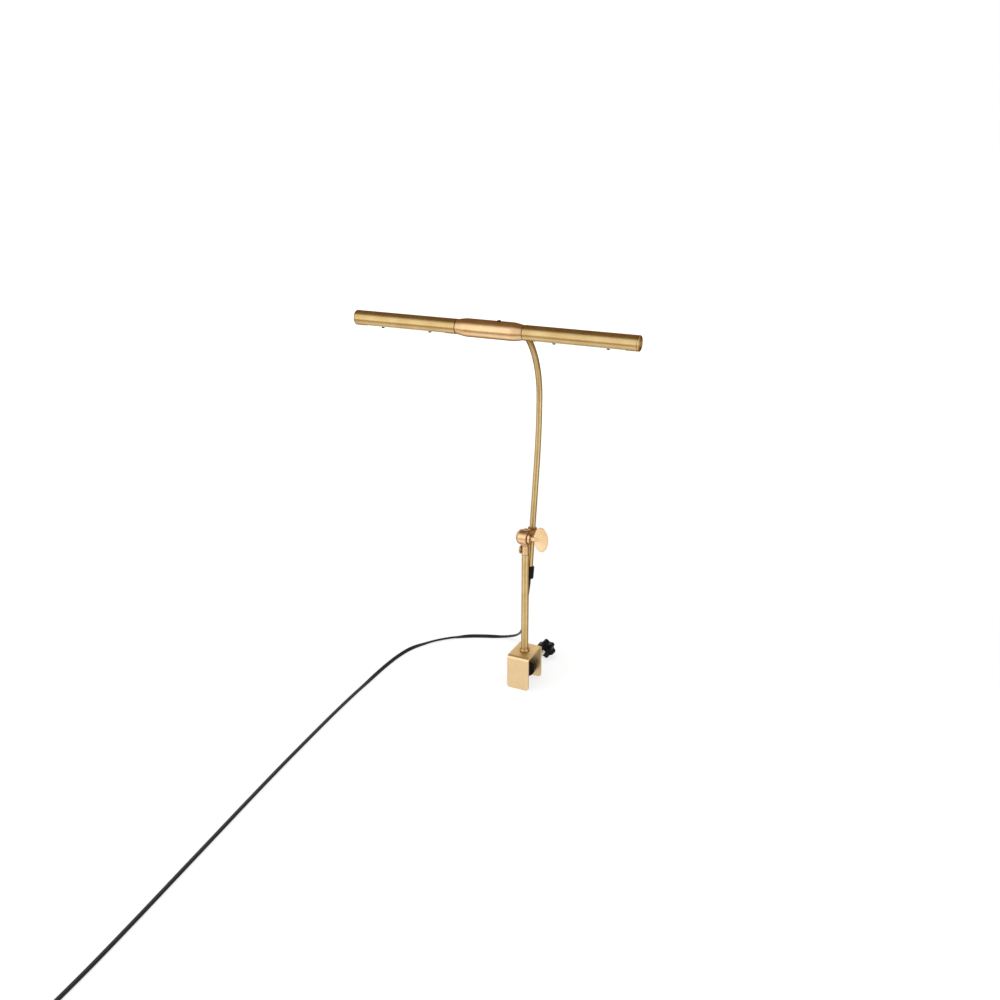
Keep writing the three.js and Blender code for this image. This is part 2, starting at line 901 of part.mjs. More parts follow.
add("centre_housing", centreGeometry(), rosyBrass, head);
add("rod_nut", rodNutGeometry(), steel, head);
add("switch_body", switchBodyGeometry(), blackPlastic, head);
add("switch_button", buttonGeometry(), blackPlastic, head);
add("driver_board", driverGeometry(), boardGreen, head);

// Shades: made for the right side, and turned half round about Z for the left

function shadeTubeGeometry() {
  const tube = alongX(ring(shadeRadius - shadeWall, shadeRadius, shadeStart, shadeEnd));
  const length = shadeLength - 2 * windowInset;
  const window = box(length, 2 * windowHalfWidth, shadeRadius + overrun).translate(
    (shadeStart + shadeEnd) / 2,
    0,
    -(shadeRadius + overrun) / 2,
  );
  return cut(tube, window);
}

function endCapGeometry() {
  const seat = shadeEnd + gap;
  return alongX(
    turned([
      [0, seat - endCapPlug],
      [sleeveShadeRadius, seat - endCapPlug],
      [sleeveShadeRadius, seat],
      [shadeRadius, seat],
      [shadeRadius, seat + endCap - endCapDome],
      [shadeRadius - endCapDome, seat + endCap],
      [0, seat + endCap],
    ]),
  );
}

const windowStart = shadeStart + windowInset;
const windowEnd = shadeEnd - windowInset;

// Two cross holes for the cover screws, through whatever lies under the shade's axis.
function screwHoles() {
  return coverScrewPlaces.map((place) =>
    disc(coverScrewRadius + gap, -shadeRadius - overrun, 0, screwSides).translate(place, 0, 0),
  );
}

function bar(halfWidth, low, high, start, end) {
  return box(end - start, 2 * halfWidth, high - low).translate(
    (start + end) / 2,
    0,
    (low + high) / 2,
  );
}

function carrierGeometry() {
  const start = centreHalf + sleeveInShade + 2 * gap;
  const end = shadeEnd - endCapPlug;
  return cut(
    bar(carrierHalfWidth, carrierTop - carrierHeight, carrierTop, start, end),
    ...screwHoles(),
  );
}

function ledBoardGeometry() {
  const low = boardTop - boardHeight;
  return cut(bar(boardHalfWidth, low, boardTop, windowStart, windowEnd), ...screwHoles());
}

function diffuserGeometry() {
  const start = windowStart + diffuserInset;
  const end = windowEnd - diffuserInset;
  const round = alongX(disc(diffuserRadius, start, end));
  const strip = bar(windowHalfWidth - diffuserInset, -shadeRadius, diffuserTop, start, end);
  return cut(common(round, strip), ...screwHoles());
}

function coverScrewGeometry(place) {
  const seat = -diffuserRadius - gap;
  return turned(
    [
      [0, seat - coverScrewHead],
      [coverScrewHeadRadius * Math.SQRT1_2, seat - coverScrewHead],
      [coverScrewHeadRadius, seat - coverScrewHead / 2],
      [coverScrewHeadRadius, seat],
      [coverScrewRadius, seat],
      [coverScrewRadius, carrierTop],
      [0, carrierTop],
    ],
    screwSides,
  ).translate(place, 0, 0);
}

for (const [side, turn] of [["right", 0], ["left", Math.PI]]) {
  const shade = new THREE.Group();
  shade.rotation.z = turn;
  head.add(shade);
  add("swivel_sleeve_" + side, sleeveGeometry(1), blackPlastic, shade);
  add("shade_tube_" + side, shadeTubeGeometry(), brass, shade);
  add("end_cap_" + side, endCapGeometry(), rosyBrass, shade);
  add("led_carrier_" + side, carrierGeometry(), steel, shade);
  add("led_board_" + side, ledBoardGeometry(), boardWhite, shade);
  add("diffuser_" + side, diffuserGeometry(), opal, shade);
  coverScrewPlaces.forEach((place, i) => {
    const name = "cover_screw_" + side + "_" + ["inner", "outer"][i];
    add(name, coverScrewGeometry(place), blackPlastic, shade);
  });
}

// Lead

const floor = -bracketHeight;
const lying = floor + cordThickness / 2;
const coilBase = lying + tieThickness + gap;
const glandFoot = -rodTail + glandGrip - glandLength;
const leadExit = rodAtPivot.clone().addScaledVector(rodDirection, glandFoot - gap);

// The lead's route from the gland to the coil, chosen by hand: down behind the post,
// round to the left over the ground, and forward to the coil.
const leadPoints = [
  leadExit.toArray(),
  leadExit.clone().addScaledVector(rodDirection, -cordWidth).toArray(),
  [-0.8, 12.4, 92],
  [-3, 15, 82.5],
  [-7, 21.5, 70],
  [-12.5, 32, 52],
  [-18.5, 44.5, 31],
  [-27.5, 60.5, 7],
  [-38, 77, -12.5],
  [-49.5, 93.5, -28.5],
  [-61.5, 104, -40],
  [-76, 106.5, lying + leadRise],
  [-93.7, 99.5, lying],
  [-110.9, 92.2, lying],
  [-127.8, 84.3, lying],
  [-143.7, 75, lying],
  [-157.8, 63, lying],
  [-170.8, 48.3, lying],
  [-182.3, 31, lying],
  [-191, 10.5, lying],
  [-196, -15.5, lying],
  [-197.8, -48, lying],
  [-197.5, -85, lying],
  [-197, -130, lying],
  [-194.5, -185, lying],
  [-190, -250, lying],
  [-184.5, -320, lying],
  [-178, -390, lying],
  [-171, -460, lying],
  [-164, -530, lying],
  [-157, -600, lying],
  [-151, -670, lying],
  [-147.5, -745, lying],
].map((point) => new THREE.Vector3(...point));

// The coil's centreline: a spiral in along the ground, a climb in the half turn where it
// reverses, and a spiral out on top. It starts on the coil's left side, heading forward.
const coilPitch = cordWidth + coilGap;
const layerPitch = cordThickness + coilGap;
const coilOuter = coilMiddleRadius + (coilPitch * coilTurnsPerLayer) / 2;
const coilTurns = 2 * coilTurnsPerLayer;

function coilPoint(turn) {
  const past = turn - coilTurnsPerLayer;
  const share = Math.min(Math.abs(past) / coilDipTurns, 1);
  const dip = coilDip * Math.cos((Math.PI / 2) * share) ** 2;
  const radius = coilOuter - coilPitch * (coilTurnsPerLayer - Math.abs(past) + dip);
  const climb = THREE.MathUtils.smoothstep(past, -coilClimbTurns, coilClimbTurns);
  const angle = Math.PI + 2 * Math.PI * turn;
  return new THREE.Vector3(
    coilCentre[0] + radius * Math.cos(angle),
    coilCentre[1] + radius * Math.sin(angle),
    coilBase + layerPitch * climb,
  );
}

function coilPoints() {
  const count = Math.round(coilTurns * coilSteps);
  const points = [];
  for (let i = 0; i <= count; i++) points.push(coilPoint((coilTurns * i) / count));
  return withStraightEnds(points);
}

// Adds a straight stretch of one cord width at both ends, level and along the lead.
function withStraightEnds(points) {
  const last = points.length - 1;
  const before = points[0].clone().sub(points[1]).setZ(0).setLength(cordWidth);
  const after = points[last].clone().sub(points[last - 1]).setZ(0).setLength(cordWidth);
  return [points[0].clone().add(before), ...points, points[last].clone().add(after)];
}

// The least clear distance between two parts of the coil's lead that aren't neighbours.
function coilLeastGap(points) {
  let least = Infinity;
  const skip = Math.round(coilSteps / 2);
  for (let i = 0; i < points.length; i++) {
    for (let j = i + skip; j < points.length; j++) {
      const across = Math.hypot(points[i].x - points[j].x, points[i].y - points[j].y);
      const up = Math.abs(points[i].z - points[j].z);
      const clear = Math.max(across - cordWidth, up - cordThickness);
      least = Math.min(least, clear);
    }
  }
  return least;
}

// A closed tube of the lead's flat section along points, its wide side kept level.
function flatTube(points, sides) {
  const positions = [];
  const index = [];
  points.forEach((point, i) => {
    const before = points[Math.max(i - 1, 0)];
    const after = points[Math.min(i + 1, points.length - 1)];
    const forward = after.clone().sub(before).normalize();
    const across = new THREE.Vector3(forward.y, -forward.x, 0).normalize();
    const up = new THREE.Vector3().crossVectors(across, forward);
    for (let k = 0; k < sides; k++) {
      const angle = (2 * Math.PI * k) / sides;
      const corner = point
        .clone()
        .addScaledVector(across, (Math.cos(angle) * cordWidth) / 2)
        .addScaledVector(up, (Math.sin(angle) * cordThickness) / 2);
      positions.push(...corner.toArray());
    }
  });
  const ringStart = (i) => i * sides;
  for (let i = 0; i + 1 < points.length; i++) {
    for (let k = 0; k < sides; k++) {
      const a = ringStart(i) + k;
      const b = ringStart(i) + ((k + 1) % sides);
      index.push(a, a + sides, b, b, a + sides, b + sides);
    }
  }
  const lastRing = ringStart(points.length - 1);
  for (let k = 1; k + 1 < sides; k++) {
    index.push(0, k, k + 1);
    index.push(lastRing, lastRing + k + 1, lastRing + k);
  }
  const geometry = new THREE.BufferGeometry();
  geometry.setAttribute("position", new THREE.Float32BufferAttribute(positions, 3));
  geometry.setIndex(index);
  const facets = geometry.toNonIndexed();
  facets.computeVertexNormals();
  return facets;
}

const coilLine = coilPoints();
const coilHead = coilLine[0].clone();
const coilForward = coilLine[1].clone().sub(coilLine[0]).normalize();
const runEnd = coilHead.clone().addScaledVector(coilForward, -gap);
const runBefore = runEnd.clone().addScaledVector(coilForward, -2 * cordWidth);
const leadCurve = new THREE.CatmullRomCurve3([...leadPoints, runBefore, runEnd], false);

// The free stretch: its flat section is turned so that it lies flat on the ground.
function leadGeometry() {
  const steps = Math.min(Math.round(leadCurve.getLength() / (cordStep * cordWidth)), cordMostSteps);
  const frames = leadCurve.computeFrenetFrames(steps, false);
  const lift = Math.atan2(frames.normals[steps].z, frames.binormals[steps].z);
  const section = new THREE.Shape();
  for (let k = 0; k < cordSides; k++) {
    const angle = (2 * Math.PI * (k + 0.5)) / cordSides;
    const reach = 1 / Math.cos(Math.PI / cordSides);
    const wide = (Math.cos(angle) * reach * cordWidth) / 2;
    const thick = (Math.sin(angle) * reach * cordThickness) / 2;
    const place = [
      wide * Math.cos(lift) + thick * Math.sin(lift),
      -wide * Math.sin(lift) + thick * Math.cos(lift),
    ];
    if (k === 0) section.moveTo(...place);
    else section.lineTo(...place);
  }
  return extruded(section, 0, { steps, extrudePath: leadCurve });
}

// A tie of thin strip round the coil's turns.
function tieGeometry() {
  const inner = coilOuter - coilPitch * (tieTurn + 1) - cordWidth / 2 - 2 * gap;
  const outer = coilOuter - coilPitch * tieTurn + cordWidth / 2 + 2 * gap;
  const bottom = coilBase - cordThickness / 2 - gap;
  const top = coilBase + layerPitch + cordThickness / 2 + gap;
  const middle = [(inner + outer) / 2, (bottom + top) / 2];
  const outside = box(
    outer - inner + 2 * tieThickness,
    tieWidth,
    top - bottom + 2 * tieThickness,
  );
  const inside = box(outer - inner, tieWidth + 2 * overrun, top - bottom);
  return cut(outside, inside)
    .translate(middle[0], 0, middle[1])
    .rotateZ(Math.PI + 2 * Math.PI * tieTurn)
    .translate(coilCentre[0], coilCentre[1], 0);
}

// Flat two-pin plug, made along X with its lead entry at the origin, resting on the ground
const coilTail = coilLine[coilLine.length - 1];
const tailForward = coilTail.clone().sub(coilLine[coilLine.length - 2]).setZ(0).normalize();
const plugGroup = new THREE.Group();
plugGroup.position.copy(coilTail).addScaledVector(tailForward, gap);
plugGroup.rotation.z = Math.atan2(tailForward.y, tailForward.x);
lamp.add(plugGroup);
const plugMiddle = floor + plugHeight / 2 - coilTail.z;

function plugGeometry() {
  const relief = alongX(
    turned(
      [
        [0, 0],
        [plugReliefTip, 0],
        [plugReliefRadius, plugReliefLength],
        [0, plugReliefLength],
      ],
      fineSides,
    ),
  );
  const bodyStart = plugReliefLength - overrun;
  const bodyEnd = bodyStart + plugBodyLength;
  const outline = new THREE.Shape();
  outline.moveTo(bodyStart, -plugNose / 2);
  outline.lineTo(bodyStart, plugNose / 2);
  outline.lineTo(bodyEnd - plugCorner, plugWidth / 2);
  outline.lineTo(bodyEnd, plugWidth / 2);
  outline.lineTo(bodyEnd, -plugWidth / 2);
  outline.lineTo(bodyEnd - plugCorner, -plugWidth / 2);
  const body = extruded(outline, plugHeight).translate(0, 0, plugMiddle - plugHeight / 2);
  return join(body, relief);
}

function pinGeometry(side) {
  const start = plugReliefLength - overrun + plugBodyLength + gap;
  return alongX(
    turned(
      [
        [0, start],
        [pinRadius, start],
        [pinRadius, start + pinLength - pinRadius / 2],
        [pinRadius / 2, start + pinLength],
        [0, start + pinLength],
      ],
      screwSides,
    ),
  ).translate(0, (side * pinSpacing) / 2, plugMiddle);
}

add("cord_run", leadGeometry(), blackLead);
add("cord_coil", flatTube(coilLine, coilSides), blackLead);
add("coil_tie", tieGeometry(), blackPlastic);
add("plug_body", plugGeometry(), blackPlastic, plugGroup);
add("plug_pin_left", pinGeometry(1), steel, plugGroup);
add("plug_pin_right", pinGeometry(-1), steel, plugGroup);

let coilLength = 0;
for (let i = 1; i < coilLine.length; i++) coilLength += coilLine[i].distanceTo(coilLine[i - 1]);
console.log("lead: run", leadCurve.getLength().toFixed(0), "mm, coil", coilLength.toFixed(0), "mm");
console.log("coil: least gap to itself", coilLeastGap(coilLine).toFixed(2), "mm");

// The lamp's origin is the middle of the fixed jaw's gripping face.
lamp.position.set(0, -linerFace, -linerMiddle);
const pianoLamp = new THREE.Group();
pianoLamp.add(lamp);

export default pianoLamp;
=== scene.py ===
"""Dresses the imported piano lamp: finishes, fine pieces, the flat lead, stage and camera."""

import json
import math

import bmesh
import bpy
from bpy.props import FloatProperty, FloatVectorProperty, IntProperty, PointerProperty
from mathutils import Matrix, Vector


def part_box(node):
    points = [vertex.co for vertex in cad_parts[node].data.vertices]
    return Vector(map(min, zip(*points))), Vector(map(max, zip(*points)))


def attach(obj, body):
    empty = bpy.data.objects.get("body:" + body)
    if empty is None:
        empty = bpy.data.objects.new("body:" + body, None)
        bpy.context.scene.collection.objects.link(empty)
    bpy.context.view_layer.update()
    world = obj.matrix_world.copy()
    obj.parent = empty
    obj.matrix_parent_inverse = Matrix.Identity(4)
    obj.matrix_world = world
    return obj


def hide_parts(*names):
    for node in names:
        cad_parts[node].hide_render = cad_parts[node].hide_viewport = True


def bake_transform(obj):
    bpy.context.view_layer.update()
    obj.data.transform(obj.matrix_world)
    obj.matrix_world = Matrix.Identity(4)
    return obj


bl_info = {
    "name": "Piano Lamp",
    "version": (1, 0, 0),
    "blender": (4, 5, 0),
    "location": "3D View > Sidebar > Piano Lamp",
    "description": "Dresses a clamp-on brass piano lamp on its measured frame",
    "category": "Add Mesh",
}

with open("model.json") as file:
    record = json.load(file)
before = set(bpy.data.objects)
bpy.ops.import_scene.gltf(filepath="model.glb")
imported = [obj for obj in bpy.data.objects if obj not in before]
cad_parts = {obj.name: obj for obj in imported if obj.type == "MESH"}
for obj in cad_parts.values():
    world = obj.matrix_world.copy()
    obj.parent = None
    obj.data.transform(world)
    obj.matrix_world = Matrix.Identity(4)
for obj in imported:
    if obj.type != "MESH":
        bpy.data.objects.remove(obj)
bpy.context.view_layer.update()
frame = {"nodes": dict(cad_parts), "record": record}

MM = 0.001
GAP = 0.3 * MM
SLOTS = {part["node"]: part["material_slot"] for part in frame["record"]["subparts"]}

# Places that the frame gives
post_low, post_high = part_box("post_tube")
POST = Vector(((post_low.x + post_high.x) / 2, (post_low.y + post_high.y) / 2, post_low.z - GAP))
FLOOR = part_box("clamp_bracket")[0].z
FOOT = Vector((POST.x, POST.y, FLOOR))
centre_low, centre_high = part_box("centre_housing")
HEAD = (centre_low + centre_high) / 2
ball_low, ball_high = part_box("pivot_housing")
BALL_RADIUS = (ball_high.y - ball_low.y) / 2
PIVOT = Vector((POST.x, POST.y, ball_high.z - BALL_RADIUS))
knob_low, knob_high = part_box("star_knob")
SPINDLE = Vector((POST.x, knob_low.y, (knob_low.z + knob_high.z) / 2))


def linear(hex_colour):
    """An sRGB hex colour as linear red, green, blue and alpha."""
    shares = [int(hex_colour[i : i + 2], 16) / 255 for i in (1, 3, 5)]
    return (*[s / 12.92 if s <= 0.04045 else ((s + 0.055) / 1.055) ** 2.4 for s in shares], 1)


def colour_property(name, hex_colour, use):
    default = linear(hex_colour)
    return FloatVectorProperty(
        name=name, description=use, default=default, subtype="COLOR", size=4, min=0, max=1
    )


def length_property(name, millimetres, use):
    return FloatProperty(
        name=name, description=use, default=millimetres * MM, min=0, unit="LENGTH"
    )


def angle_property(name, degrees, use):
    return FloatProperty(
        name=name, description=use, default=math.radians(degrees), unit="ROTATION"
    )


class PianoLampSizes(bpy.types.PropertyGroup):
    """Sizes of the pieces that this file makes."""

    rod_radius: length_property("Rod radius", 4, "Radius of the swan-neck rod")
    rod_offset: length_property("Rod offset", 22, "How far the rod stands behind the post")
    rod_tail: length_property("Rod tail", 59.2, "Rod length below the pivot")
    rod_straight: length_property("Rod straight", 92.4, "Straight rod length above the pivot")
    rod_lean: angle_property("Rod lean", 7.8, "How far the rod leans back at the pivot")
    slow_bend: length_property("Slow bend", 664, "Radius of the rod's slow bend")
    tight_bend: length_property("Tight bend", 118, "Radius of the rod's tight bend")
    tight_bend_end: angle_property("Tight bend's end", 42.4, "Slope where the crown bend starts")
    crown_bend: length_property("Crown bend", 85.1, "Radius of the bend behind the head")
    rod_end_slope: angle_property("Rod end's slope", 80, "Slope where the rod enters the head")
    rod_end: length_property("Rod end", 68.8, "Straight rod length into the head")
    lead_width: length_property("Lead width", 5.4, "Wide side of the flat lead")
    lead_thickness: length_property("Lead thickness", 3.2, "Narrow side of the flat lead")
    lead_groove: length_property("Lead groove", 0.14, "Depth of the groove between the cores")
    thread_pitch: length_property("Thread pitch", 1, "Pitch of the clamp screw")
    thread_depth: length_property("Thread depth", 0.55, "Depth of the clamp screw's thread")
    knurls: IntProperty(
        name="Knurls", description="Ribs round the lock screw's head", default=28, min=6
    )
    grips: IntProperty(
        name="Grips", description="Grip ribs on each side of the plug", default=5, min=1
    )


class PianoLampFinishes(bpy.types.PropertyGroup):
    """Colours of the finishes."""

    satin_light: colour_property("Satin brass, light", "#dabf8c", "Brushed tubes, light streaks")
    satin_dark: colour_property("Satin brass, dark", "#bf9f66", "Brushed tubes, dark streaks")
    # The rod's tones are the tubes' satin brass made darker: painted shade for the darker look of
    # its reflections.
    rod_light: colour_property("Rod brass, light", "#c8ae7f", "Swan-neck rod, light streaks")
    rod_dark: colour_property("Rod brass, dark", "#ae915b", "Swan-neck rod, dark streaks")
    rosy_light: colour_property("Rosy brass, light", "#e6c59b", "Turned pieces, light tone")
    rosy_dark: colour_property("Rosy brass, dark", "#cda477", "Turned pieces, dark tone")
    blasted_light: colour_property("Blasted brass, light", "#ffe6bd", "Thumb paddle, light specks")
    blasted_dark: colour_property("Blasted brass, dark", "#e2b886", "Thumb paddle, dark specks")
    pale_light: colour_property("Pale gold, light", "#ecd0a4", "Bracket, light tone")
    pale_dark: colour_property("Pale gold, dark", "#dfc08f", "Bracket, dark tone")
    zinc: colour_property("Zinc", "#b9b9b4", "Bright zinc on steel screws")
    nickel: colour_property("Nickel", "#c9c6bf", "Bright nickel on the plug's pins")
    black_moulding: colour_property("Black moulding", "#0b0b0c", "Knob, pad cup, switch, end piece")
    rubber: colour_property("Rubber", "#121213", "Jaw liner and pad")
    sheath: colour_property("Lead sheath", "#1f2022", "Flat lead and plug")
    opal: colour_property("Opal", "#f2efe6", "Diffusers")
    floor: colour_property("Floor", "#f4f4f4", "Studio floor")


def sizes():
    return bpy.context.scene.piano_lamp_sizes


def finishes():
    return bpy.context.scene.piano_lamp_finishes


# Materials

AXES = {"X": (1, 0, 0), "Z": (0, 0, 1)}
CLOUD_GRAIN = 22 * MM
TONE_LIFT = 0.22
BRUSH_DEPTH = 0.05 * MM
MOULD_DEPTH = 0.1 * MM
MOULD_SPREAD = 0.08


def node(tree, kind, inputs=None, stops=(), out=0, **settings):
    """Adds a node, sets its properties, ramp stops and input values, and links given sockets.
    Returns the output asked for by its number or name, or None where there is none."""
    made = tree.nodes.new(kind)
    for name, value in settings.items():
        setattr(made, name, value)
    for i, stop in enumerate(stops):
        made.color_ramp.elements[i].position, made.color_ramp.elements[i].color = stop
    for name, value in (inputs or {}).items():
        if isinstance(value, bpy.types.NodeSocket):
            tree.links.new(value, made.inputs[name])
        else:
            made.inputs[name].default_value = value
    return made.outputs[out] if made.outputs else None


def material(name, build):
    """The material of that name, made on first use by build(tree), which returns its shader."""
    if name in bpy.data.materials:
        return bpy.data.materials[name]
    made = bpy.data.materials.new(name)
    made.use_nodes = True
    tree = made.node_tree
    tree.nodes.clear()
    node(tree, "ShaderNodeOutputMaterial", {"Surface": build(tree)})
    return made


def object_pattern(tree, grain, stretch=(1, 1, 1)):
    """A noise whose grain is a real size in metres, stretched along the piece."""
    place = node(tree, "ShaderNodeTexCoord", out="Object")
    mapped = node(tree, "ShaderNodeMapping", {"Vector": place, "Scale": stretch})
    inputs = {"Vector": mapped, "Scale": 1 / grain, "Detail": 4, "Roughness": 0.6}
    return node(tree, "ShaderNodeTexNoise", inputs)


def drawn_pattern(tree, cells, detail):
    """A noise drawn out along a swept piece: cells round it and cells in a metre of its length."""
    place = node(tree, "ShaderNodeTexCoord", out="UV")
    mapped = node(tree, "ShaderNodeMapping", {"Vector": place, "Scale": (*cells, 1)})
    return node(tree, "ShaderNodeTexNoise", {"Vector": mapped, "Scale": 1.0, "Detail": detail})


def dimmed(tone, share):
    """A ramp's colour: a share of a tone."""
    return (*[share * c for c in tone[:3]], 1)


def patterned(tree, pattern, tones, rough, values, relief=None, span=(0, 1), tinted=None):
    """A surface whose pattern sets its tone, its roughness and its relief.

    tones are ramp stops. rough is the roughness at the two ends of the pattern's span. relief is
    a bump's strength and its depth in metres. tinted is the tone's own pattern, if it has one.
    """
    inputs = dict(values)
    fac = pattern if tinted is None else tinted
    inputs["Base Color"] = node(tree, "ShaderNodeValToRGB", {"Fac": fac}, tones)
    ends = {"From Min": span[0], "From Max": span[1], "To Min": rough[0], "To Max": rough[1]}
    inputs["Roughness"] = node(tree, "ShaderNodeMapRange", {"Value": pattern, **ends})
    if relief:
        bump = {"Strength": relief[0], "Distance": relief[1], "Height": pattern}
        inputs["Normal"] = node(tree, "ShaderNodeBump", bump)
    return node(tree, "ShaderNodeBsdfPrincipled", inputs)


def brass(name, tone, rough, grain, bump, along="X", stretched=0.0, stretch=(1, 1, 1), cells=None):
    """Clear-lacquered brass: streaks set its colour, roughness and bump, clouds its tone. Its
    brushing runs along an axis and stretches the reflections. The streaks have a grain in
    millimetres, or cells on a swept piece. Real ones are finer than a render shows, so each
    grain is drawn as coarse as it needs to show."""

    def build(tree):
        if cells:
            streaks = drawn_pattern(tree, cells, 4)
        else:
            streaks = object_pattern(tree, grain * MM, stretch)
        clouded = {0: streaks, 1: object_pattern(tree, CLOUD_GRAIN), 2: TONE_LIFT}
        both = node(tree, "ShaderNodeMath", clouded, operation="MULTIPLY_ADD")
        spaces = {"vector_type": "VECTOR", "convert_from": "OBJECT", "convert_to": "WORLD"}
        way = node(tree, "ShaderNodeVectorTransform", {"Vector": AXES[along]}, **spaces)
        values = {
            "Metallic": 1.0,
            "Tangent": way,
            "Anisotropic": stretched,
            # The dark brown edge tint is painted shade: it darkens the brass's reflections towards
            # its silhouettes.
            "Specular Tint": linear("#8a5f35"),
            "Coat Weight": 0.06,
            "Coat Roughness": 0.25,
        }
        dark, light = [getattr(finishes(), tone + end) for end in ("_dark", "_light")]
        tones = [(0.3, dark), (0.62, light)]
        relief = (bump, BRUSH_DEPTH)
        return patterned(tree, streaks, tones, rough, values, relief, (0.3, 0.7), both)

    return material(name, build)


def satin_brass(along):
    """Brass tube brushed lengthwise: fine streaks run along the tube, drawn 0.5 mm wide to show.
    The brushing draws each reflection out into a line along the tube."""
    name = "satin_brass_brushed_along_" + along.lower()
    stretch = [0.02 if share else 1 for share in AXES[along]]
    return brass(name, "satin", (0.34, 0.46), 0.5, 0.12, along, 0.9, stretch)


def shaded_rod_brass():
    """The tubes' brushed brass on the bent rod: clearer reflections, with streaks that follow the
    rod's bends, drawn 0.5 mm wide to show. Its tones are the tubes' tones made darker, as painted
    shade."""
    return brass("satin_brass_brushed_rod", "rod", (0.2, 0.3), 0, 0.12, "Z", 0.9, cells=(50, 18))


def rosy_brass():
    """Brass turned and satin polished: rosier, smoother, with a faint fine grain."""
    return brass("rosy_brass_satin_polished", "rosy", (0.3, 0.38), 0.6, 0.05, "X", 0.6)


def blasted_brass():
    """Thumb paddle: the same brass, bead blasted. Its fine specks are drawn 1.6 mm wide to show."""
    return brass("rosy_brass_bead_blasted", "blasted", (0.4, 0.5), 1.6, 0.15)


def pale_gold():
    """Bent steel strap plated in pale satin gold: a fine vertical brush grain on a soft sheen."""
    return brass("pale_gold_plate", "pale", (0.36, 0.46), 0.5, 0.08, stretch=(1, 1, 0.06))


def plated(name, tone, rough):
    """Metal with a bright plating: clear reflections, slightly clouded."""

    def build(tree):
        tones = [(0.3, dimmed(tone, 0.85)), (0.7, tone)]
        clouds = object_pattern(tree, 1.5 * MM)
        return patterned(tree, clouds, tones, (rough * 0.7, rough * 1.3), {"Metallic": 1.0})

    return material(name, build)


def moulding(name, tone, rough, grain, bump, shine=0.5):
    """Moulded plastic or rubber: an even tone with the mould's fine grain in its sheen, drawn
    coarser than the real one to show."""

    def build(tree):
        tones = [(0.3, dimmed(tone, 0.8)), (0.7, tone)]
        texture = object_pattern(tree, grain * MM)
        ends = (rough - MOULD_SPREAD, rough + MOULD_SPREAD)
        values = {"Specular IOR Level": shine}
        return patterned(tree, texture, tones, ends, values, (bump, MOULD_DEPTH))

    return material(name, build)


def lead_sheath():
    """Extruded PVC sheath: faint lines along the lead, 0.5 mm wide, and a soft waxy sheen."""

    def build(tree):
        sheath = finishes().sheath
        tones = [(0.35, dimmed(sheath, 0.75)), (0.7, sheath)]
        lines = drawn_pattern(tree, (30, 25), 2)
        values = {"Specular IOR Level": 0.25}
        return patterned(tree, lines, tones, (0.3, 0.5), values, (0.1, BRUSH_DEPTH))

    return material("pvc_lead_sheath", build)


def opal_plastic():
    """Opal acrylic: milky, lets light through a little, with a soft gloss."""

    def build(tree):
        opal = finishes().opal
        haze = object_pattern(tree, 3 * MM)
        tones = [(0.2, dimmed(opal, 0.95)), (0.8, opal)]
        values = {
            "Base Color": node(tree, "ShaderNodeValToRGB", {"Fac": haze}, tones),
            "Roughness": 0.35,
            "Subsurface Weight": 0.3,
            "Subsurface Scale": 1.5 * MM,
        }
        return node(tree, "ShaderNodeBsdfPrincipled", values)

    return material("opal_acrylic", build)


def black_plastic():
    """Satin moulded ABS: near black, with soft broad highlights."""
    return moulding("abs_satin_black", finishes().black_moulding, 0.24, 0.4, 0.05, 0.12)


def black_rubber():
    """Matt moulded rubber: dull, slightly grainy and without highlights."""
    return moulding("rubber_matt_black", finishes().rubber, 0.75, 0.6, 0.25, 0.15)


def zinc():
    """Zinc-plated steel: light grey with clear, slightly clouded reflections."""
    return plated("zinc_plated_steel", finishes().zinc, 0.28)


def nickel():
    """Nickel-plated brass: warmer and brighter than the zinc."""
    return plated("nickel_plated_brass", finishes().nickel, 0.18)


def black_screw():
    """Black oxide on steel: dark, with hardly any sheen."""
    return moulding("black_oxide_steel", linear("#101012"), 0.4, 0.3, 0.05, 0.1)


def white_board():
    """White solder mask: smooth and a little glossy."""
    return moulding("white_solder_mask", linear("#e6e7e2"), 0.4, 0.8, 0.05)


def green_board():
    """Green solder mask: smooth and a little glossy."""
    return moulding("green_solder_mask", linear("#1f5b3a"), 0.4, 0.8, 0.05)


def nylon():
    """Brown nylon: even and waxy."""
    return moulding("brown_nylon", linear("#97703f"), 0.5, 0.8, 0.06, 0.3)


def fibre():
    """Vulcanised fibre: reddish brown, dull and felted."""
    return moulding("vulcanised_fibre", linear("#9a5b30"), 0.8, 0.4, 0.3, 0.3)


# Meshes

ON_AXIS = 1e-6
EASED_SHARE = 0.45
MERGE_DISTANCE = 0.002 * MM
FLAT_ANGLE = math.radians(0.5)
EDGE_SEGMENTS = 3


def point(x, y, z):
    """The place, in metres, of a point given in millimetres from the post's foot."""
    return POST + Vector((x, y, z)) * MM


def facing(direction):
    """A rotation that takes Z along a direction."""
    return Vector(direction).to_track_quat("Z", "Y").to_matrix().to_4x4()


def placed(at, direction=(0, 0, 1)):
    """A matrix that puts millimetres made about Z at a place, with Z along direction."""
    return Matrix.Translation(at) @ facing(direction) @ Matrix.Scale(MM, 4)


def eased(profile, radius, steps=4):
    """The profile with each corner off the axis replaced by a small curve."""
    closed = profile[0][0] > 0
    points = [Vector(p) for p in profile]
    count = len(points)
    out = []
    for i, corner in enumerate(points):
        if not closed and i in (0, count - 1):
            out.append(corner)
            continue
        before = points[i - 1] - corner
        after = points[(i + 1) % count] - corner
        reach = min(radius, EASED_SHARE * before.length, EASED_SHARE * after.length)
        start = corner + before.normalized() * reach
        end = corner + after.normalized() * reach
        for k in range(steps + 1):
            t = k / steps
            out.append(start * (1 - t) ** 2 + corner * 2 * t * (1 - t) + end * t**2)
    return [(p.x, p.y) for p in out]


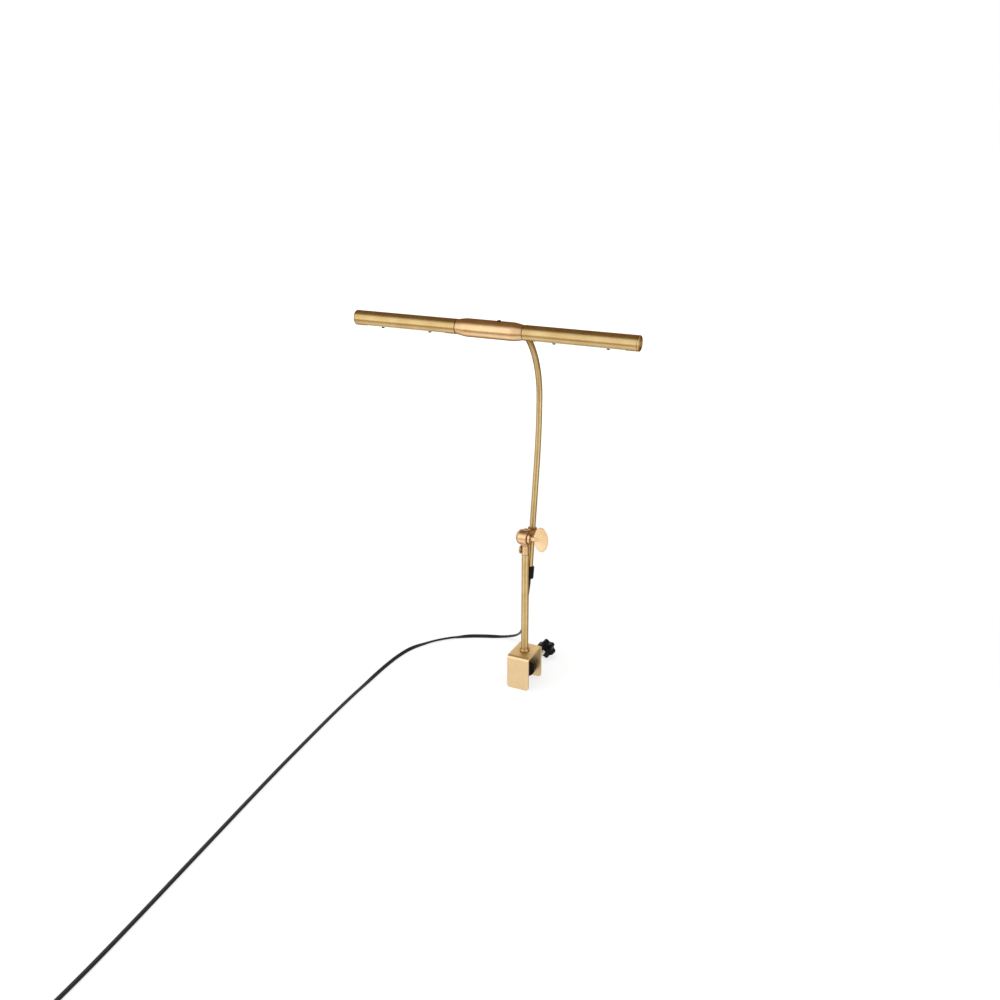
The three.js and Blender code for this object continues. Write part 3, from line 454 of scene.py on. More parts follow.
def ring(radii):
    """An outline with the given radii at equal angles."""
    angles = [2 * math.pi * k / len(radii) for k in range(len(radii))]
    return [(r * math.cos(a), r * math.sin(a)) for r, a in zip(radii, angles)]


def circle(radius, sides):
    return ring([radius] * sides)


def finished(bm):
    """The bmesh as a mesh, with the bmesh freed."""
    mesh = bpy.data.meshes.new("piece")
    bm.to_mesh(mesh)
    bm.free()
    return mesh


def close_rows(bm, rows, wrap=False):
    """Joins rows of vertices by quads, and caps the two ends unless they wrap round."""
    pairs = list(zip(rows, rows[1:]))
    if wrap:
        pairs.append((rows[-1], rows[0]))
    for low, high in pairs:
        for k in range(len(low)):
            after = (k + 1) % len(low)
            bm.faces.new((low[k], low[after], high[after], high[k]))
    if not wrap:
        bm.faces.new(list(reversed(rows[0])))
        bm.faces.new(rows[-1])


def solid(rows, wrap=False):
    """A closed mesh through rows of places."""
    bm = bmesh.new()
    close_rows(bm, [[bm.verts.new(place) for place in row] for row in rows], wrap)
    bmesh.ops.recalc_face_normals(bm, faces=bm.faces)
    return finished(bm)


def stacked(outlines, matrix, wrap=False):
    """A solid through (height, outline) pairs in millimetres, stacked along Z."""
    rows = [[matrix @ Vector((x, y, z)) for x, y in outline] for z, outline in outlines]
    return solid(rows, wrap)


def turned(profile, matrix, sides=64):
    """A turned solid from (radius, height) pairs in millimetres."""
    rings = [(z, circle(radius, sides)) for radius, z in profile if radius >= ON_AXIS]
    return stacked(rings, matrix, profile[0][0] > ON_AXIS)


def block(low, high):
    """A box mesh between two corners, in metres."""
    bm = bmesh.new()
    place = Matrix.Translation((low + high) / 2) @ Matrix.Diagonal((*(high - low), 1))
    bmesh.ops.create_cube(bm, size=1, matrix=place)
    return finished(bm)


def added(name, data):
    """A new object in the scene."""
    obj = bpy.data.objects.new(name, data)
    bpy.context.collection.objects.link(obj)
    return obj


def evaluated(obj, *tools):
    """The plain mesh that an object's modifiers make. The object and its tools are removed."""
    bpy.context.view_layer.update()
    depsgraph = bpy.context.evaluated_depsgraph_get()
    mesh = bpy.data.meshes.new_from_object(obj.evaluated_get(depsgraph))
    for each in (obj, *tools):
        bpy.data.objects.remove(each)
    return mesh


def combined(mesh, tool, operation="DIFFERENCE"):
    """mesh cut by, or united with, tool."""
    base, other = added("base", mesh), added("tool", tool)
    boolean = base.modifiers.new("combine", "BOOLEAN")
    boolean.operation = operation
    boolean.object = other
    boolean.solver = "EXACT"
    return evaluated(base, other)


def drilled(mesh, radius, matrix, low, high):
    """mesh with a round hole along the matrix's Z from low to high."""
    return combined(mesh, turned([(0, low), (radius, low), (radius, high), (0, high)], matrix, 48))


def measures(name):
    """A CAD node's box: its lowest corner, its middle, and its three sizes in millimetres."""
    low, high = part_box(name)
    return low, (low + high) / 2, [(b - a) / MM for a, b in zip(low, high)]


def merged_copy(name):
    """A CAD node's mesh with its loose triangles merged and its flat faces made whole."""
    bm = bmesh.new()
    bm.from_mesh(frame["nodes"][name].data)
    bmesh.ops.remove_doubles(bm, verts=bm.verts, dist=MERGE_DISTANCE)
    bmesh.ops.dissolve_limit(bm, angle_limit=FLAT_ANGLE, verts=bm.verts, edges=bm.edges)
    return finished(bm)


def piece(name, mesh, finish, body, stands_for=None, slot=None, edge=0.0, sharp=38):
    """Puts a finished mesh into the scene as a piece that rides on a body and hides the CAD node it
    stands for. The slot, given or that node's, is worked out but not set on the piece. Its edges
    are rounded by edge millimetres, or kept, and its faces are smooth up to sharp degrees."""
    mesh.name = name
    mesh.materials.clear()
    mesh.materials.append(finish)
    for attribute in ("custom_normal", "sharp_face"):
        if attribute in mesh.attributes:
            mesh.attributes.remove(mesh.attributes[attribute])
    mesh.shade_smooth()
    mesh.set_sharp_from_angle(angle=math.radians(sharp))
    obj = added(name, mesh)
    if edge:
        bevel = obj.modifiers.new("edges", "BEVEL")
        bevel.width = edge * MM
        bevel.segments = EDGE_SEGMENTS
        bevel.limit_method = "ANGLE"
        bevel.angle_limit = math.radians(sharp)
        bevel.harden_normals = True
    else:
        weighted = obj.modifiers.new("normals", "WEIGHTED_NORMAL")
        weighted.keep_sharp = True
    if body:
        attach(obj, body)
    if stands_for:
        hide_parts(stands_for)
        slot = slot or SLOTS[stands_for]
    return obj


def refined(name, finish, body, edge, sharp=38):
    """A CAD node's own shape as a piece with rounded edges and smooth curved faces."""
    mesh = merged_copy(name)
    return piece(name + "_fine", mesh, finish, body, name, edge=edge, sharp=sharp)


def repainted(name, finish):
    """A CAD node that stays as it is, with its finish."""
    materials = frame["nodes"][name].data.materials
    materials.clear()
    materials.append(finish)


def ribs(count, spread, size, finish, matrix):
    """Equal ribs made by Geometry Nodes, in millimetres. They stand round a circle where spread
    is its radius, and in a row along X where spread is the step from each rib to the next."""
    if isinstance(spread, tuple):
        spots, names, kind = "GeometryNodeMeshLine", ("Count", "Offset"), "NodeSocketVector"
    else:
        spots, names, kind = "GeometryNodeMeshCircle", ("Vertices", "Radius"), "NodeSocketFloat"
    values = {
        "Count": (count, "NodeSocketInt"),
        "Spread": (spread, kind),
        "Rib": (size, "NodeSocketVector"),
        "Finish": (finish, "NodeSocketMaterial"),
    }
    tree = bpy.data.node_groups.new("ribs", "GeometryNodeTree")
    sockets = {
        name: tree.interface.new_socket(name, in_out="INPUT", socket_type=kind).identifier
        for name, (_, kind) in values.items()
    }
    tree.interface.new_socket("Geometry", in_out="OUTPUT", socket_type="NodeSocketGeometry")
    given = node(tree, "NodeGroupInput").node.outputs
    points = node(tree, spots, {names[0]: given["Count"], names[1]: given["Spread"]})
    rib = node(tree, "GeometryNodeMeshCube", {"Size": given["Rib"]})
    outward = {"Vector": node(tree, "GeometryNodeInputPosition")}
    turn = node(tree, "FunctionNodeAlignRotationToVector", outward, axis="X")
    copies = {"Points": points, "Instance": rib, "Rotation": turn}
    made = node(tree, "GeometryNodeInstanceOnPoints", copies)
    real = node(tree, "GeometryNodeRealizeInstances", {"Geometry": made})
    painted = {"Geometry": real, "Material": given["Finish"]}
    node(tree, "NodeGroupOutput", {"Geometry": node(tree, "GeometryNodeSetMaterial", painted)})
    holder = added("holder", bpy.data.meshes.new("holder"))
    modifier = holder.modifiers.new("nodes", "NODES")
    modifier.node_group = tree
    for name, (value, _) in values.items():
        modifier[sockets[name]] = value
    mesh = evaluated(holder)
    mesh.transform(matrix)
    return mesh


# Lead

# Its route as the CAD lead has it, in millimetres from the post's foot
LEAD_POINTS = [
    (-0.8, 12.4, 92), (-3, 15, 82.5), (-7, 21.5, 70), (-12.5, 32, 52), (-18.5, 44.5, 31),
    (-27.5, 60.5, 7), (-38, 77, -12.5), (-49.5, 93.5, -28.5), (-61.5, 104, -40),
    (-76, 106.5, -46.3),
]
LEAD_ON_GROUND = [
    (-93.7, 99.5), (-110.9, 92.2), (-127.8, 84.3), (-143.7, 75), (-157.8, 63), (-170.8, 48.3),
    (-182.3, 31), (-191, 10.5), (-196, -15.5), (-197.8, -48), (-197.5, -85), (-197, -130),
    (-194.5, -185), (-190, -250), (-184.5, -320), (-178, -390), (-171, -460), (-164, -530),
    (-157, -600), (-151, -670), (-147.5, -745),
]
GROUND = -47.9

# Its twist: metres from its exit, degrees
LEAD_TWIST = (
    (0.205, 0), (0.238, 60), (0.255, 60), (0.292, -22),
    (0.315, -22), (0.370, 52), (0.440, 52), (0.490, 0),
)

# Its stretches across moving joints: name, bodies at its ends, metres from its exit to its end
LEAD_JOINTS = (
    ("lead_at_arm", "arm", "bush", 0.034),
    ("lead_at_bush", "bush", "lug", 0.068),
    ("lead_at_lug", "lug", "pivot", 0.165),
    ("lead_at_pivot", "pivot", "clamp", 0.29),
)
LEAD_RUN = ("lead_run", "clamp", None, None)
LEAD_LENGTH = 1.8
LENGTH_TOLERANCE = 0.02
LEAD_STEP = 3 * MM
SHORTEST_STEP = 0.02 * MM
SECTION_SIDES = 24
RELIEF_GRIP = 10.5 * MM
RELIEF_LENGTH = 17.5 * MM

# Its coil, in millimetres and turns
COIL_TURNS_PER_LAYER = 1.75
COIL_STEPS = 40
COIL_GAP = 0.55
COIL_MIDDLE_RADIUS = 28.5
COIL_CENTRE = (-112, -804)
COIL_DIP = 0.6
COIL_DIP_TURNS = 0.5
COIL_CLIMB_TURNS = 0.17
COIL_BASE = -46.8


def rod_direction():
    lean = sizes().rod_lean
    return Vector((0, math.sin(lean), math.cos(lean)))


def rod_at_pivot():
    return PIVOT + Vector((0, sizes().rod_offset, 0))


def smoothstep(value, low, high):
    share = min(max((value - low) / (high - low), 0), 1)
    return share * share * (3 - 2 * share)


def level(direction):
    return Vector((direction.x, direction.y, 0)).normalized()


def coil_line():
    """The coil's centreline: in along the ground, up where it turns back, and out on top."""
    pitch = sizes().lead_width / MM + COIL_GAP
    layer = sizes().lead_thickness / MM + COIL_GAP
    outer = COIL_MIDDLE_RADIUS + pitch * COIL_TURNS_PER_LAYER / 2
    turns = 2 * COIL_TURNS_PER_LAYER
    count = round(turns * COIL_STEPS)
    points = []
    for i in range(count + 1):
        past = turns * i / count - COIL_TURNS_PER_LAYER
        dip = COIL_DIP * math.cos(math.pi / 2 * min(abs(past) / COIL_DIP_TURNS, 1)) ** 2
        radius = outer - pitch * (COIL_TURNS_PER_LAYER - abs(past) + dip)
        height = COIL_BASE + layer * smoothstep(past, -COIL_CLIMB_TURNS, COIL_CLIMB_TURNS)
        angle = math.pi + 2 * math.pi * (past + COIL_TURNS_PER_LAYER)
        x = COIL_CENTRE[0] + radius * math.cos(angle)
        points.append(point(x, COIL_CENTRE[1] + radius * math.sin(angle), height))
    before = level(points[0] - points[1]) * sizes().lead_width
    after = level(points[-1] - points[-2]) * sizes().lead_width
    return [points[0] + before, *points, points[-1] + after]


def curve_through(points, step):
    """Points about a step apart on the centripetal curve through the given points."""
    padded = [2 * points[0] - points[1], *points, 2 * points[-1] - points[-2]]
    out = []
    for p0, p1, p2, p3 in zip(padded, padded[1:], padded[2:], padded[3:]):
        d0, d1, d2 = [(b - a).length ** 0.5 for a, b in ((p0, p1), (p1, p2), (p2, p3))]
        t1 = ((p1 - p0) / d0 - (p2 - p0) / (d0 + d1) + (p2 - p1) / d1) * d1
        t2 = ((p2 - p1) / d1 - (p3 - p1) / (d1 + d2) + (p3 - p2) / d2) * d1
        square = 3 * (p2 - p1) - 2 * t1 - t2
        cube = 2 * (p1 - p2) + t1 + t2
        count = max(2, round((p2 - p1).length / step))
        for i in range(count):
            t = i / count
            out.append(p1 + t1 * t + square * t**2 + cube * t**3)
    return [*out, points[-1]]


def lead_line():
    """The whole lead's centreline, from the rod's end piece to the plug."""
    width = sizes().lead_width
    below = sizes().rod_tail - RELIEF_GRIP + RELIEF_LENGTH + GAP
    exit_point = rod_at_pivot() - rod_direction() * below
    straight = exit_point - rod_direction() * width
    coil = coil_line()
    before_coil = coil[0] - level(coil[1] - coil[0]) * 2 * width
    given = [*LEAD_POINTS, *[(x, y, GROUND) for x, y in LEAD_ON_GROUND]]
    route = [exit_point, straight, *[point(*p) for p in given], before_coil, coil[0]]
    return curve_through(route, LEAD_STEP) + coil[1:]


def lead_section():
    """The flat lead's outline: two round cores side by side under one sheath."""
    round_radius = sizes().lead_thickness / 2
    shift = sizes().lead_width / 2 - round_radius
    outline = []
    for k in range(SECTION_SIDES):
        angle = 2 * math.pi * (k + 0.5) / SECTION_SIDES
        x = math.copysign(shift, math.cos(angle)) + round_radius * math.cos(angle)
        outline.append((x, round_radius * math.sin(angle)))
    groove = round_radius - sizes().lead_groove
    outline.insert(SECTION_SIDES // 4, (0, groove))
    outline.insert(3 * SECTION_SIDES // 4 + 1, (0, -groove))
    return outline


def directions_along(line):
    """Which way a line runs at each of its points."""
    last = len(line) - 1
    return [(line[min(i + 1, last)] - line[max(i - 1, 0)]).normalized() for i in range(last + 1)]


def frames_along(line):
    """(point, across, up) along a line. across is level at its end and carried back untwisted."""
    forward = directions_along(line)
    across = Vector((forward[-1].y, -forward[-1].x, 0)).normalized()
    out = []
    for i in range(len(line) - 1, -1, -1):
        if i + 1 < len(line):
            across = forward[i + 1].rotation_difference(forward[i]) @ across
        across = (across - forward[i] * across.dot(forward[i])).normalized()
        out.append((line[i], across.copy(), across.cross(forward[i])))
    return out[::-1]


def twisted(frames):
    """The frames with the flat lead's twist: it shows its wide and narrow sides in turn and
    lies on its lower edge."""
    shift = (sizes().lead_width - sizes().lead_thickness) / 2
    out, length, last = [], 0.0, frames[0][0]
    for place, across, up in frames:
        length += (place - last).length
        last = place
        angle = 0.0
        for (start, low), (end, high) in zip(LEAD_TWIST, LEAD_TWIST[1:]):
            if start < length <= end:
                angle = math.radians(low + (high - low) * smoothstep(length, start, end))
        turn = Matrix.Rotation(angle, 3, across.cross(up))
        lift = Vector((0, 0, shift * abs(math.sin(angle))))
        out.append((place + lift, turn @ across, turn @ up))
    return out


def swept(frames, section):
    """A closed tube of the section along frames, with UVs round and along it in metres."""
    bm = bmesh.new()
    rows = [
        [bm.verts.new(place + across * x + up * y) for x, y in section]
        for place, across, up in frames
    ]
    close_rows(bm, rows)
    layer = bm.loops.layers.uv.new("UVMap")
    bm.verts.index_update()
    lengths = [0.0]
    for before, after in zip(frames, frames[1:]):
        lengths.append(lengths[-1] + (after[0] - before[0]).length)
    for face in bm.faces:
        for loop in face.loops:
            row, column = divmod(loop.vert.index, len(section))
            loop[layer].uv = (column / len(section), lengths[row])
    bmesh.ops.recalc_face_normals(bm, faces=bm.faces)
    return finished(bm)


def split_frames(frames, lengths):
    """The frames cut at the given lengths. Neighbouring parts share the frame at their cut."""
    parts, part = [], [frames[0]]
    done = 0.0
    cuts = list(lengths)
    for here, after in zip(frames, frames[1:]):
        span = (after[0] - here[0]).length
        if cuts and done + span >= cuts[0]:
            share = (cuts.pop(0) - done) / span
            near = here if share <= 0.5 else after
            cut = (here[0].lerp(after[0], share), *near[1:])
            parts.append([*part, cut])
            part = [cut]
        if (after[0] - part[-1][0]).length > SHORTEST_STEP:
            part.append(after)
        done += span
    return [*parts, part]


def make_lead():
    """The lead's pieces with their lines. The last rides on the clamp; the others ride on no body.
    """
    frames = twisted(frames_along(lead_line()))
    parts = split_frames(frames, [joint[3] for joint in LEAD_JOINTS])
    section = lead_section()
    pieces = []
    for part, (name, near, far, _) in zip(parts, [*LEAD_JOINTS, LEAD_RUN]):
        body = None if far else near
        obj = piece(name, swept(part, section), lead_sheath(), body, slot="pvc_black")
        line = [place for place, _, _ in part]
        if far:
            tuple(line[0])
            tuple(line[-1])
            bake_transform(obj)
        pieces.append((obj, line))
    return pieces


def declare_lead(pieces):
    """Sums the lengths of the lead's stretches and raises if the whole lead is not its real length.
    """
    total = 0.0
    for obj, part in pieces:
        length = sum((b - a).length for a, b in zip(part, part[1:]))
        total += length
    if abs(total - LEAD_LENGTH) > LENGTH_TOLERANCE * LEAD_LENGTH:
        raise RuntimeError(f"the lead is {total:.3f} m long and should be {LEAD_LENGTH} m")


# Plug, in millimetres

PLUG_RELIEF = 26
PLUG_RELIEF_RADII = (3.3, 4.6)
PLUG_OVERLAP = 1
PLUG_RINGS = 6
PLUG_RING_DEPTH = 0.8
PLUG_RING_SHARE = 0.55
PLUG_GROOVE_SHARES = (0.6, 0.95)
PLUG_BODY = 24
PLUG_HEIGHT = 13.4
PLUG_WIDTH = 26
PLUG_NOSE = 15
PLUG_SHOULDER = 3
GRIP_PLACE = (6, 7.9)
GRIP_STEP = (2.6, 0, 0)
GRIP_SIZE = (1.1, 3.2, PLUG_HEIGHT - 4)


def plug_relief_mesh(matrix):
    """The plug's strain relief: rings that widen towards the body."""
    thin, thick = PLUG_RELIEF_RADII
    span = PLUG_RELIEF / PLUG_RINGS
    rings = [(0, 0)]
    for k in range(PLUG_RINGS):
        share = k / PLUG_RINGS
        radius = thin + (thick - thin) * share
        x = share * PLUG_RELIEF
        rings += [(radius, x), (radius, x + PLUG_RING_SHARE * span)]
        groove = radius - PLUG_RING_DEPTH
        rings += [(groove, x + part * span) for part in PLUG_GROOVE_SHARES]
    rings += [(thick, PLUG_RELIEF), (0, PLUG_RELIEF)]
    return turned(eased(rings, 0.25), matrix @ Matrix.Rotation(math.pi / 2, 4, "Y"), 32)


def make_plug(line):
    """Flat two-pin plug: a moulded body with finger grips and a ringed strain relief."""
    forward = level(line[-1] - line[-2])
    tail = line[-1] + forward * GAP
    drop = (FLOOR + PLUG_HEIGHT / 2 * MM - tail.z) / MM
    turn = Matrix.Rotation(math.atan2(forward.y, forward.x), 4, "Z")
    matrix = Matrix.Translation(tail) @ turn @ Matrix.Scale(MM, 4)
    start = PLUG_RELIEF - PLUG_OVERLAP
    end = start + PLUG_BODY
    right = [(start, PLUG_NOSE / 2), (end - PLUG_SHOULDER, PLUG_WIDTH / 2), (end, PLUG_WIDTH / 2)]
    outline = [(x, -y) for x, y in right] + right[::-1]
    body = stacked([(drop + side * PLUG_HEIGHT / 2, outline) for side in (-1, 1)], matrix)
    pieces = [
        piece("plug_shell", body, lead_sheath(), "clamp", "plug_body", edge=1.6),
        piece("plug_relief", plug_relief_mesh(matrix), lead_sheath(), "clamp", slot="pvc_black"),
    ]
    taper = math.atan2((PLUG_WIDTH - PLUG_NOSE) / 2, PLUG_BODY - PLUG_SHOULDER)
    for name, side in (("plug_grip_right", -1), ("plug_grip_left", 1)):
        at = Matrix.Translation((start + GRIP_PLACE[0], side * GRIP_PLACE[1], drop))
        place = matrix @ at @ Matrix.Rotation(side * taper, 4, "Z")
        grip = ribs(sizes().grips, GRIP_STEP, GRIP_SIZE, lead_sheath(), place)
        pieces.append(piece(name, grip, lead_sheath(), "clamp", slot="pvc_black", edge=0.3))
    return pieces


# Clamp, in millimetres

KNOB_LOBES = 6
KNOB_RADIUS = 12.2
KNOB_WAVE = 1.5
KNOB_TURN = math.radians(20)
KNOB_HUB = 5
KNOB_SIDES = 120
THREAD_SIDES = 24
THREAD_STEPS_PER_TURN = 6
THREAD_TIP = 0.5


def knob_mesh():
    """Six-lobed knob with rounded edges, a dished outer face and a hub towards the jaw."""
    length = (knob_high.y - knob_low.y) / MM
    hub = [(0, 7.0), (0.5, 7.5), (KNOB_HUB - 0.6, 7.5), (KNOB_HUB - 0.1, 7.9)]
    insets = [(KNOB_HUB, 2.4), (KNOB_HUB + 0.3, 1.5), (KNOB_HUB + 0.9, 0.8), (KNOB_HUB + 2, 0.3)]
    insets += [(length - 2.2, 0), (length - 1.2, 0.2), (length - 0.4, 0.8), (length, 1.7)]
    dish = [(length, 7.6), (length - 0.7, 6.9), (length - 0.7, 1.0)]
    angles = [2 * math.pi * k / KNOB_SIDES for k in range(KNOB_SIDES)]
    lobes = [KNOB_RADIUS + KNOB_WAVE * math.cos(KNOB_LOBES * (a - KNOB_TURN)) for a in angles]
    outlines = [(z, circle(radius, KNOB_SIDES)) for z, radius in hub]
    outlines += [(z, ring([radius - inset for radius in lobes])) for z, inset in insets]
    outlines += [(z, circle(radius, KNOB_SIDES)) for z, radius in dish]
    return stacked(outlines, placed(SPINDLE, (0, 1, 0)))


def thread_mesh():
    """The clamp screw with its thread: the radius follows a helix of the screw's pitch."""
    low, _, (_, length, wide) = measures("clamp_spindle")
    pitch = sizes().thread_pitch / MM
    depth = sizes().thread_depth / MM
    count = int(length / pitch * THREAD_STEPS_PER_TURN)
    outlines = []
    for i in range(count + 1):
        z = length * i / count
        fade = min(z / pitch, (length - z) / pitch, 1)
        tip = THREAD_TIP * (1 - fade)
        crests = [abs(2 * ((z / pitch - k / THREAD_SIDES) % 1) - 1) for k in range(THREAD_SIDES)]
        radii = [wide / 2 - depth * (1 - crest) * fade - tip for crest in crests]
        outlines.append((z, ring(radii)))
    return stacked(outlines, placed(Vector((SPINDLE.x, low.y, SPINDLE.z)), (0, 1, 0)))


# Pivot, in millimetres

HOUSING_FACE = 4.2
DOME_DEPTH = 7.6
DOME_STEPS = 16
PADDLE_HALF_WIDTH = 10.2
PADDLE_RINGS = 22
PADDLE_SIDES = 96
PADDLE_RIM_START, PADDLE_RIM_SHARE = 0.93, 0.07
RIDGE_LENGTH = 13
RIDGE_HEIGHT = 1.9
RIDGE_WIDTHS = (0.7, 3.2)
RIDGE_FALL = 1.1
RIDGE_RIM_LOSS, RIDGE_RIM_POWER = 0.35, 8


def housing_mesh():
    """The domed pivot body and its stem, flared where they meet."""
    left = (POST.x - ball_low.x) / MM
    radius = BALL_RADIUS / MM
    face = HOUSING_FACE
    profile = [(0, -left)]
    for i in range(1, DOME_STEPS + 1):
        angle = math.pi / 2 * i / DOME_STEPS
        profile.append((radius * math.sin(angle), -left + DOME_DEPTH * (1 - math.cos(angle))))
    profile += [(radius, face - 1.4), (radius - 0.5, face - 0.5), (radius - 1.3, face), (0, face)]
    axis = placed(PIVOT, (1, 0, 0))
    ball = turned(profile, axis, 96)
    low = (ball_low.z - POST.z) / MM
    top = (PIVOT.z - POST.z) / MM
    stem = [(0, low), (4.7, low), (5.0, low + 0.3), (5.0, top - radius - 2.6)]
    stem += [(5.25, top - radius - 1.2), (5.9, top - radius - 0.1), (7.0, top - radius + 1.0)]
    stem += [(7.0, top - 6), (0, top - 6)]
    beside = block(PIVOT + Vector((face, -12, -30)) * MM, PIVOT + Vector((12, 12, 12)) * MM)
    flare = combined(turned(stem, placed(POST)), beside)
    return drilled(combined(ball, flare, "UNION"), 3.3, axis, -8, 20)


def paddle_mesh():
    """Oval paddle with a rounded rim and a flame-shaped ridge that runs out of the neck."""
    low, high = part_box("thumb_screw")
    half_height = (high.z - low.z) / 2 / MM
    centre = (high.x - PIVOT.x) / MM - PADDLE_HALF_WIDTH

    def thick(share, x, z):
        rim = (1 - max(0, (share - PADDLE_RIM_START) / PADDLE_RIM_SHARE) ** 2) ** 0.5
        along = min(max((x + PADDLE_HALF_WIDTH) / RIDGE_LENGTH, 0), 1)
        spread = RIDGE_WIDTHS[1] * (1 - along) + RIDGE_WIDTHS[0]
        ridge = RIDGE_HEIGHT * (1 - along) ** RIDGE_FALL * math.exp(-((z / spread) ** 2))
        return rim + ridge * (1 - RIDGE_RIM_LOSS * share**RIDGE_RIM_POWER)

    rows = []
    for i in [*range(1, PADDLE_RINGS + 1), *range(1 - PADDLE_RINGS, 0)]:
        share = (abs(i) / PADDLE_RINGS) ** 0.7
        row = []
        for angle_x, angle_z in circle(1, PADDLE_SIDES):
            x, z = PADDLE_HALF_WIDTH * share * angle_x, half_height * share * angle_z
            y = 0.0 if i == PADDLE_RINGS else math.copysign(thick(share, x, z), i)
            row.append(PIVOT + Vector((centre + x, y, z)) * MM)
        rows.append(row)
    return solid(rows)


def thumb_screw_mesh():
    """The oval paddle with its screw, whose neck flares towards the washer."""
    neck = [(0, -8), (3, -8), (3, 9.8), (4.1, 9.8), (4.25, 10.1), (4.1, 11.2), (3.6, 12.6)]
    neck += [(3.2, 15), (2.6, 18), (1.6, 21.5), (0, 24)]
    stem = turned(eased(neck, 0.3, 3), placed(PIVOT, (1, 0, 0)), 48)
    return combined(paddle_mesh(), stem, "UNION")


def make_lock_screw():
    """Knurled lock screw: a round head whose ribs are set round it."""
    low, middle, (reach, wide, _) = measures("swivel_lock_screw")
    radius = wide / 2
    thickness = 2.4
    profile = [(0, 0), (radius - 1.4, 0), (radius - 0.5, 0.7), (radius - 0.5, thickness - 0.4)]
    profile += [(radius - 0.9, thickness), (2, thickness), (2, reach), (0, reach)]
    matrix = placed(Vector((low.x, middle.y, middle.z)), (1, 0, 0))
    finish = satin_brass("X")
    screw = turned(eased(profile, 0.2), matrix)
    piece("lock_screw", screw, finish, "lock_screw", "swivel_lock_screw")
    at = matrix @ Matrix.Translation((0, 0, thickness / 2 + 0.15))
    knurl = ribs(sizes().knurls, radius - 0.5, (0.8, 0.7, thickness - 1.3), finish, at)
    piece("lock_screw_knurl", knurl, finish, "lock_screw", slot="brass_rosy", edge=0.15)


def top_screw_mesh():
    """Slotted screw with a domed head on top of the pivot housing."""
    low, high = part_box("top_screw")
    height = (high.z - low.z) / MM
    radius, rim, dome = 2.8, 0.5, 1.3
    seat = height - rim - dome
    profile = [(0, 0), (1.5, 0), (1.5, seat), (radius, seat), (radius, seat + rim)]
    for i in range(1, 6):
        angle = math.pi / 2 * i / 6
        profile.append((radius * math.cos(angle), seat + rim + dome * math.sin(angle)))
    profile.append((0, height))
    head = turned(profile, placed(Vector((POST.x, POST.y, low.z))), 48)
    top = Vector((POST.x, POST.y, high.z))
    slot = block(top - Vector((3, 0.35, 0.8)) * MM, top + Vector((3, 0.35, 1)) * MM)
    return combined(head, slot)


# Arm

ROD_STEP = 4 * MM
ROD_SIDES = 40


def rod_end_direction():
    slope = sizes().rod_end_slope
    return Vector((0, -math.sin(slope), math.cos(slope)))


def bend_offset(radius, low, angle):
    """How far a bend has gone at an angle away from upright, from its start at low."""
    back = radius * (math.cos(angle) - math.cos(low))
    return Vector((0, back, radius * (math.sin(angle) - math.sin(low))))


def rod_line(step):
    """The rod's centreline: straight, three bends and a straight end."""
    s = sizes()
    start = rod_at_pivot() - rod_direction() * s.rod_tail
    straight = s.rod_tail + s.rod_straight
    count = round(straight / step)
    out = [start + rod_direction() * straight * i / count for i in range(count)]
    here = start + rod_direction() * straight
    for radius, low, high in (
        (s.slow_bend, -s.rod_lean, 0.0),
        (s.tight_bend, 0.0, s.tight_bend_end),
        (s.crown_bend, s.tight_bend_end, s.rod_end_slope),
    ):
        count = round(radius * (high - low) / step)
        angles = [low + (high - low) * i / count for i in range(count)]
        out += [here + bend_offset(radius, low, angle) for angle in angles]
        here = here + bend_offset(radius, low, high)
    count = round(s.rod_end / step)
    out += [here + rod_end_direction() * s.rod_end * i / count for i in range(count + 1)]
    return out


def rod_mesh():
    line = rod_line(ROD_STEP)
    across = Vector((1, 0, 0))
    frames = [(p, across, across.cross(way)) for p, way in zip(line, directions_along(line))]
    return swept(frames, circle(sizes().rod_radius, ROD_SIDES))


def relief_mesh():
    """Black moulded end piece on the rod's tail, slightly tapered, with a rounded rim."""
    top = -(sizes().rod_tail - RELIEF_GRIP) / MM
    foot = top - RELIEF_LENGTH / MM
    bore = top - 9.5
    profile = [(0, foot), (5.2, foot), (5.95, foot + 0.7), (6.2, top - 0.6), (5.6, top)]
    profile += [(4.3, top), (4.3, bore), (0, bore)]
    return turned(eased(profile, 0.5), placed(rod_at_pivot(), rod_direction()), 48)


# Head, in millimetres

SHOULDER_RADIUS = 8.6
SHOULDER_LENGTH = 14
SHOULDER_STEPS = 10
HEAD_WALL = 1.6


def centre_mesh():
    """Centre housing: a tube whose ends taper in soft shoulders to the turning joints."""
    half = (centre_high.x - centre_low.x) / 2 / MM
    radius = (centre_high.y - centre_low.y) / 2 / MM
    outer = [(SHOULDER_RADIUS, -half)]
    for i in range(1, SHOULDER_STEPS + 1):
        share = i / SHOULDER_STEPS
        drop = (radius - SHOULDER_RADIUS) * (1 - smoothstep(share, -0.25, 1.0))
        outer.append((radius - drop, -half + SHOULDER_LENGTH * share))
    profile = outer + [(r, -z) for r, z in reversed(outer)]
    inner = [(r - HEAD_WALL, z) for r, z in reversed(profile)]
    shell = turned(profile + inner, placed(HEAD, (1, 0, 0)), 96)
    shell = drilled(shell, 4.3, placed(HEAD, -rod_end_direction()), 0, 14)
    _, middle, (wide, _, _) = measures("switch_button")
    return drilled(shell, wide / 2 + 0.3, placed(Vector((middle.x, HEAD.y, HEAD.z))), 0, 14)


def button_mesh():
    """Round push button with a slightly dished top."""
    low, middle, (wide, _, height) = measures("switch_button")
    radius = wide / 2
    profile = [(0, 0), (radius, 0), (radius, height - 0.45), (radius - 0.4, height)]
    profile += [(radius - 1, height - 0.1), (0, height - 0.2)]
    return turned(eased(profile, 0.2), placed(Vector((middle.x, middle.y, low.z))), 48)


# Shades, in millimetres

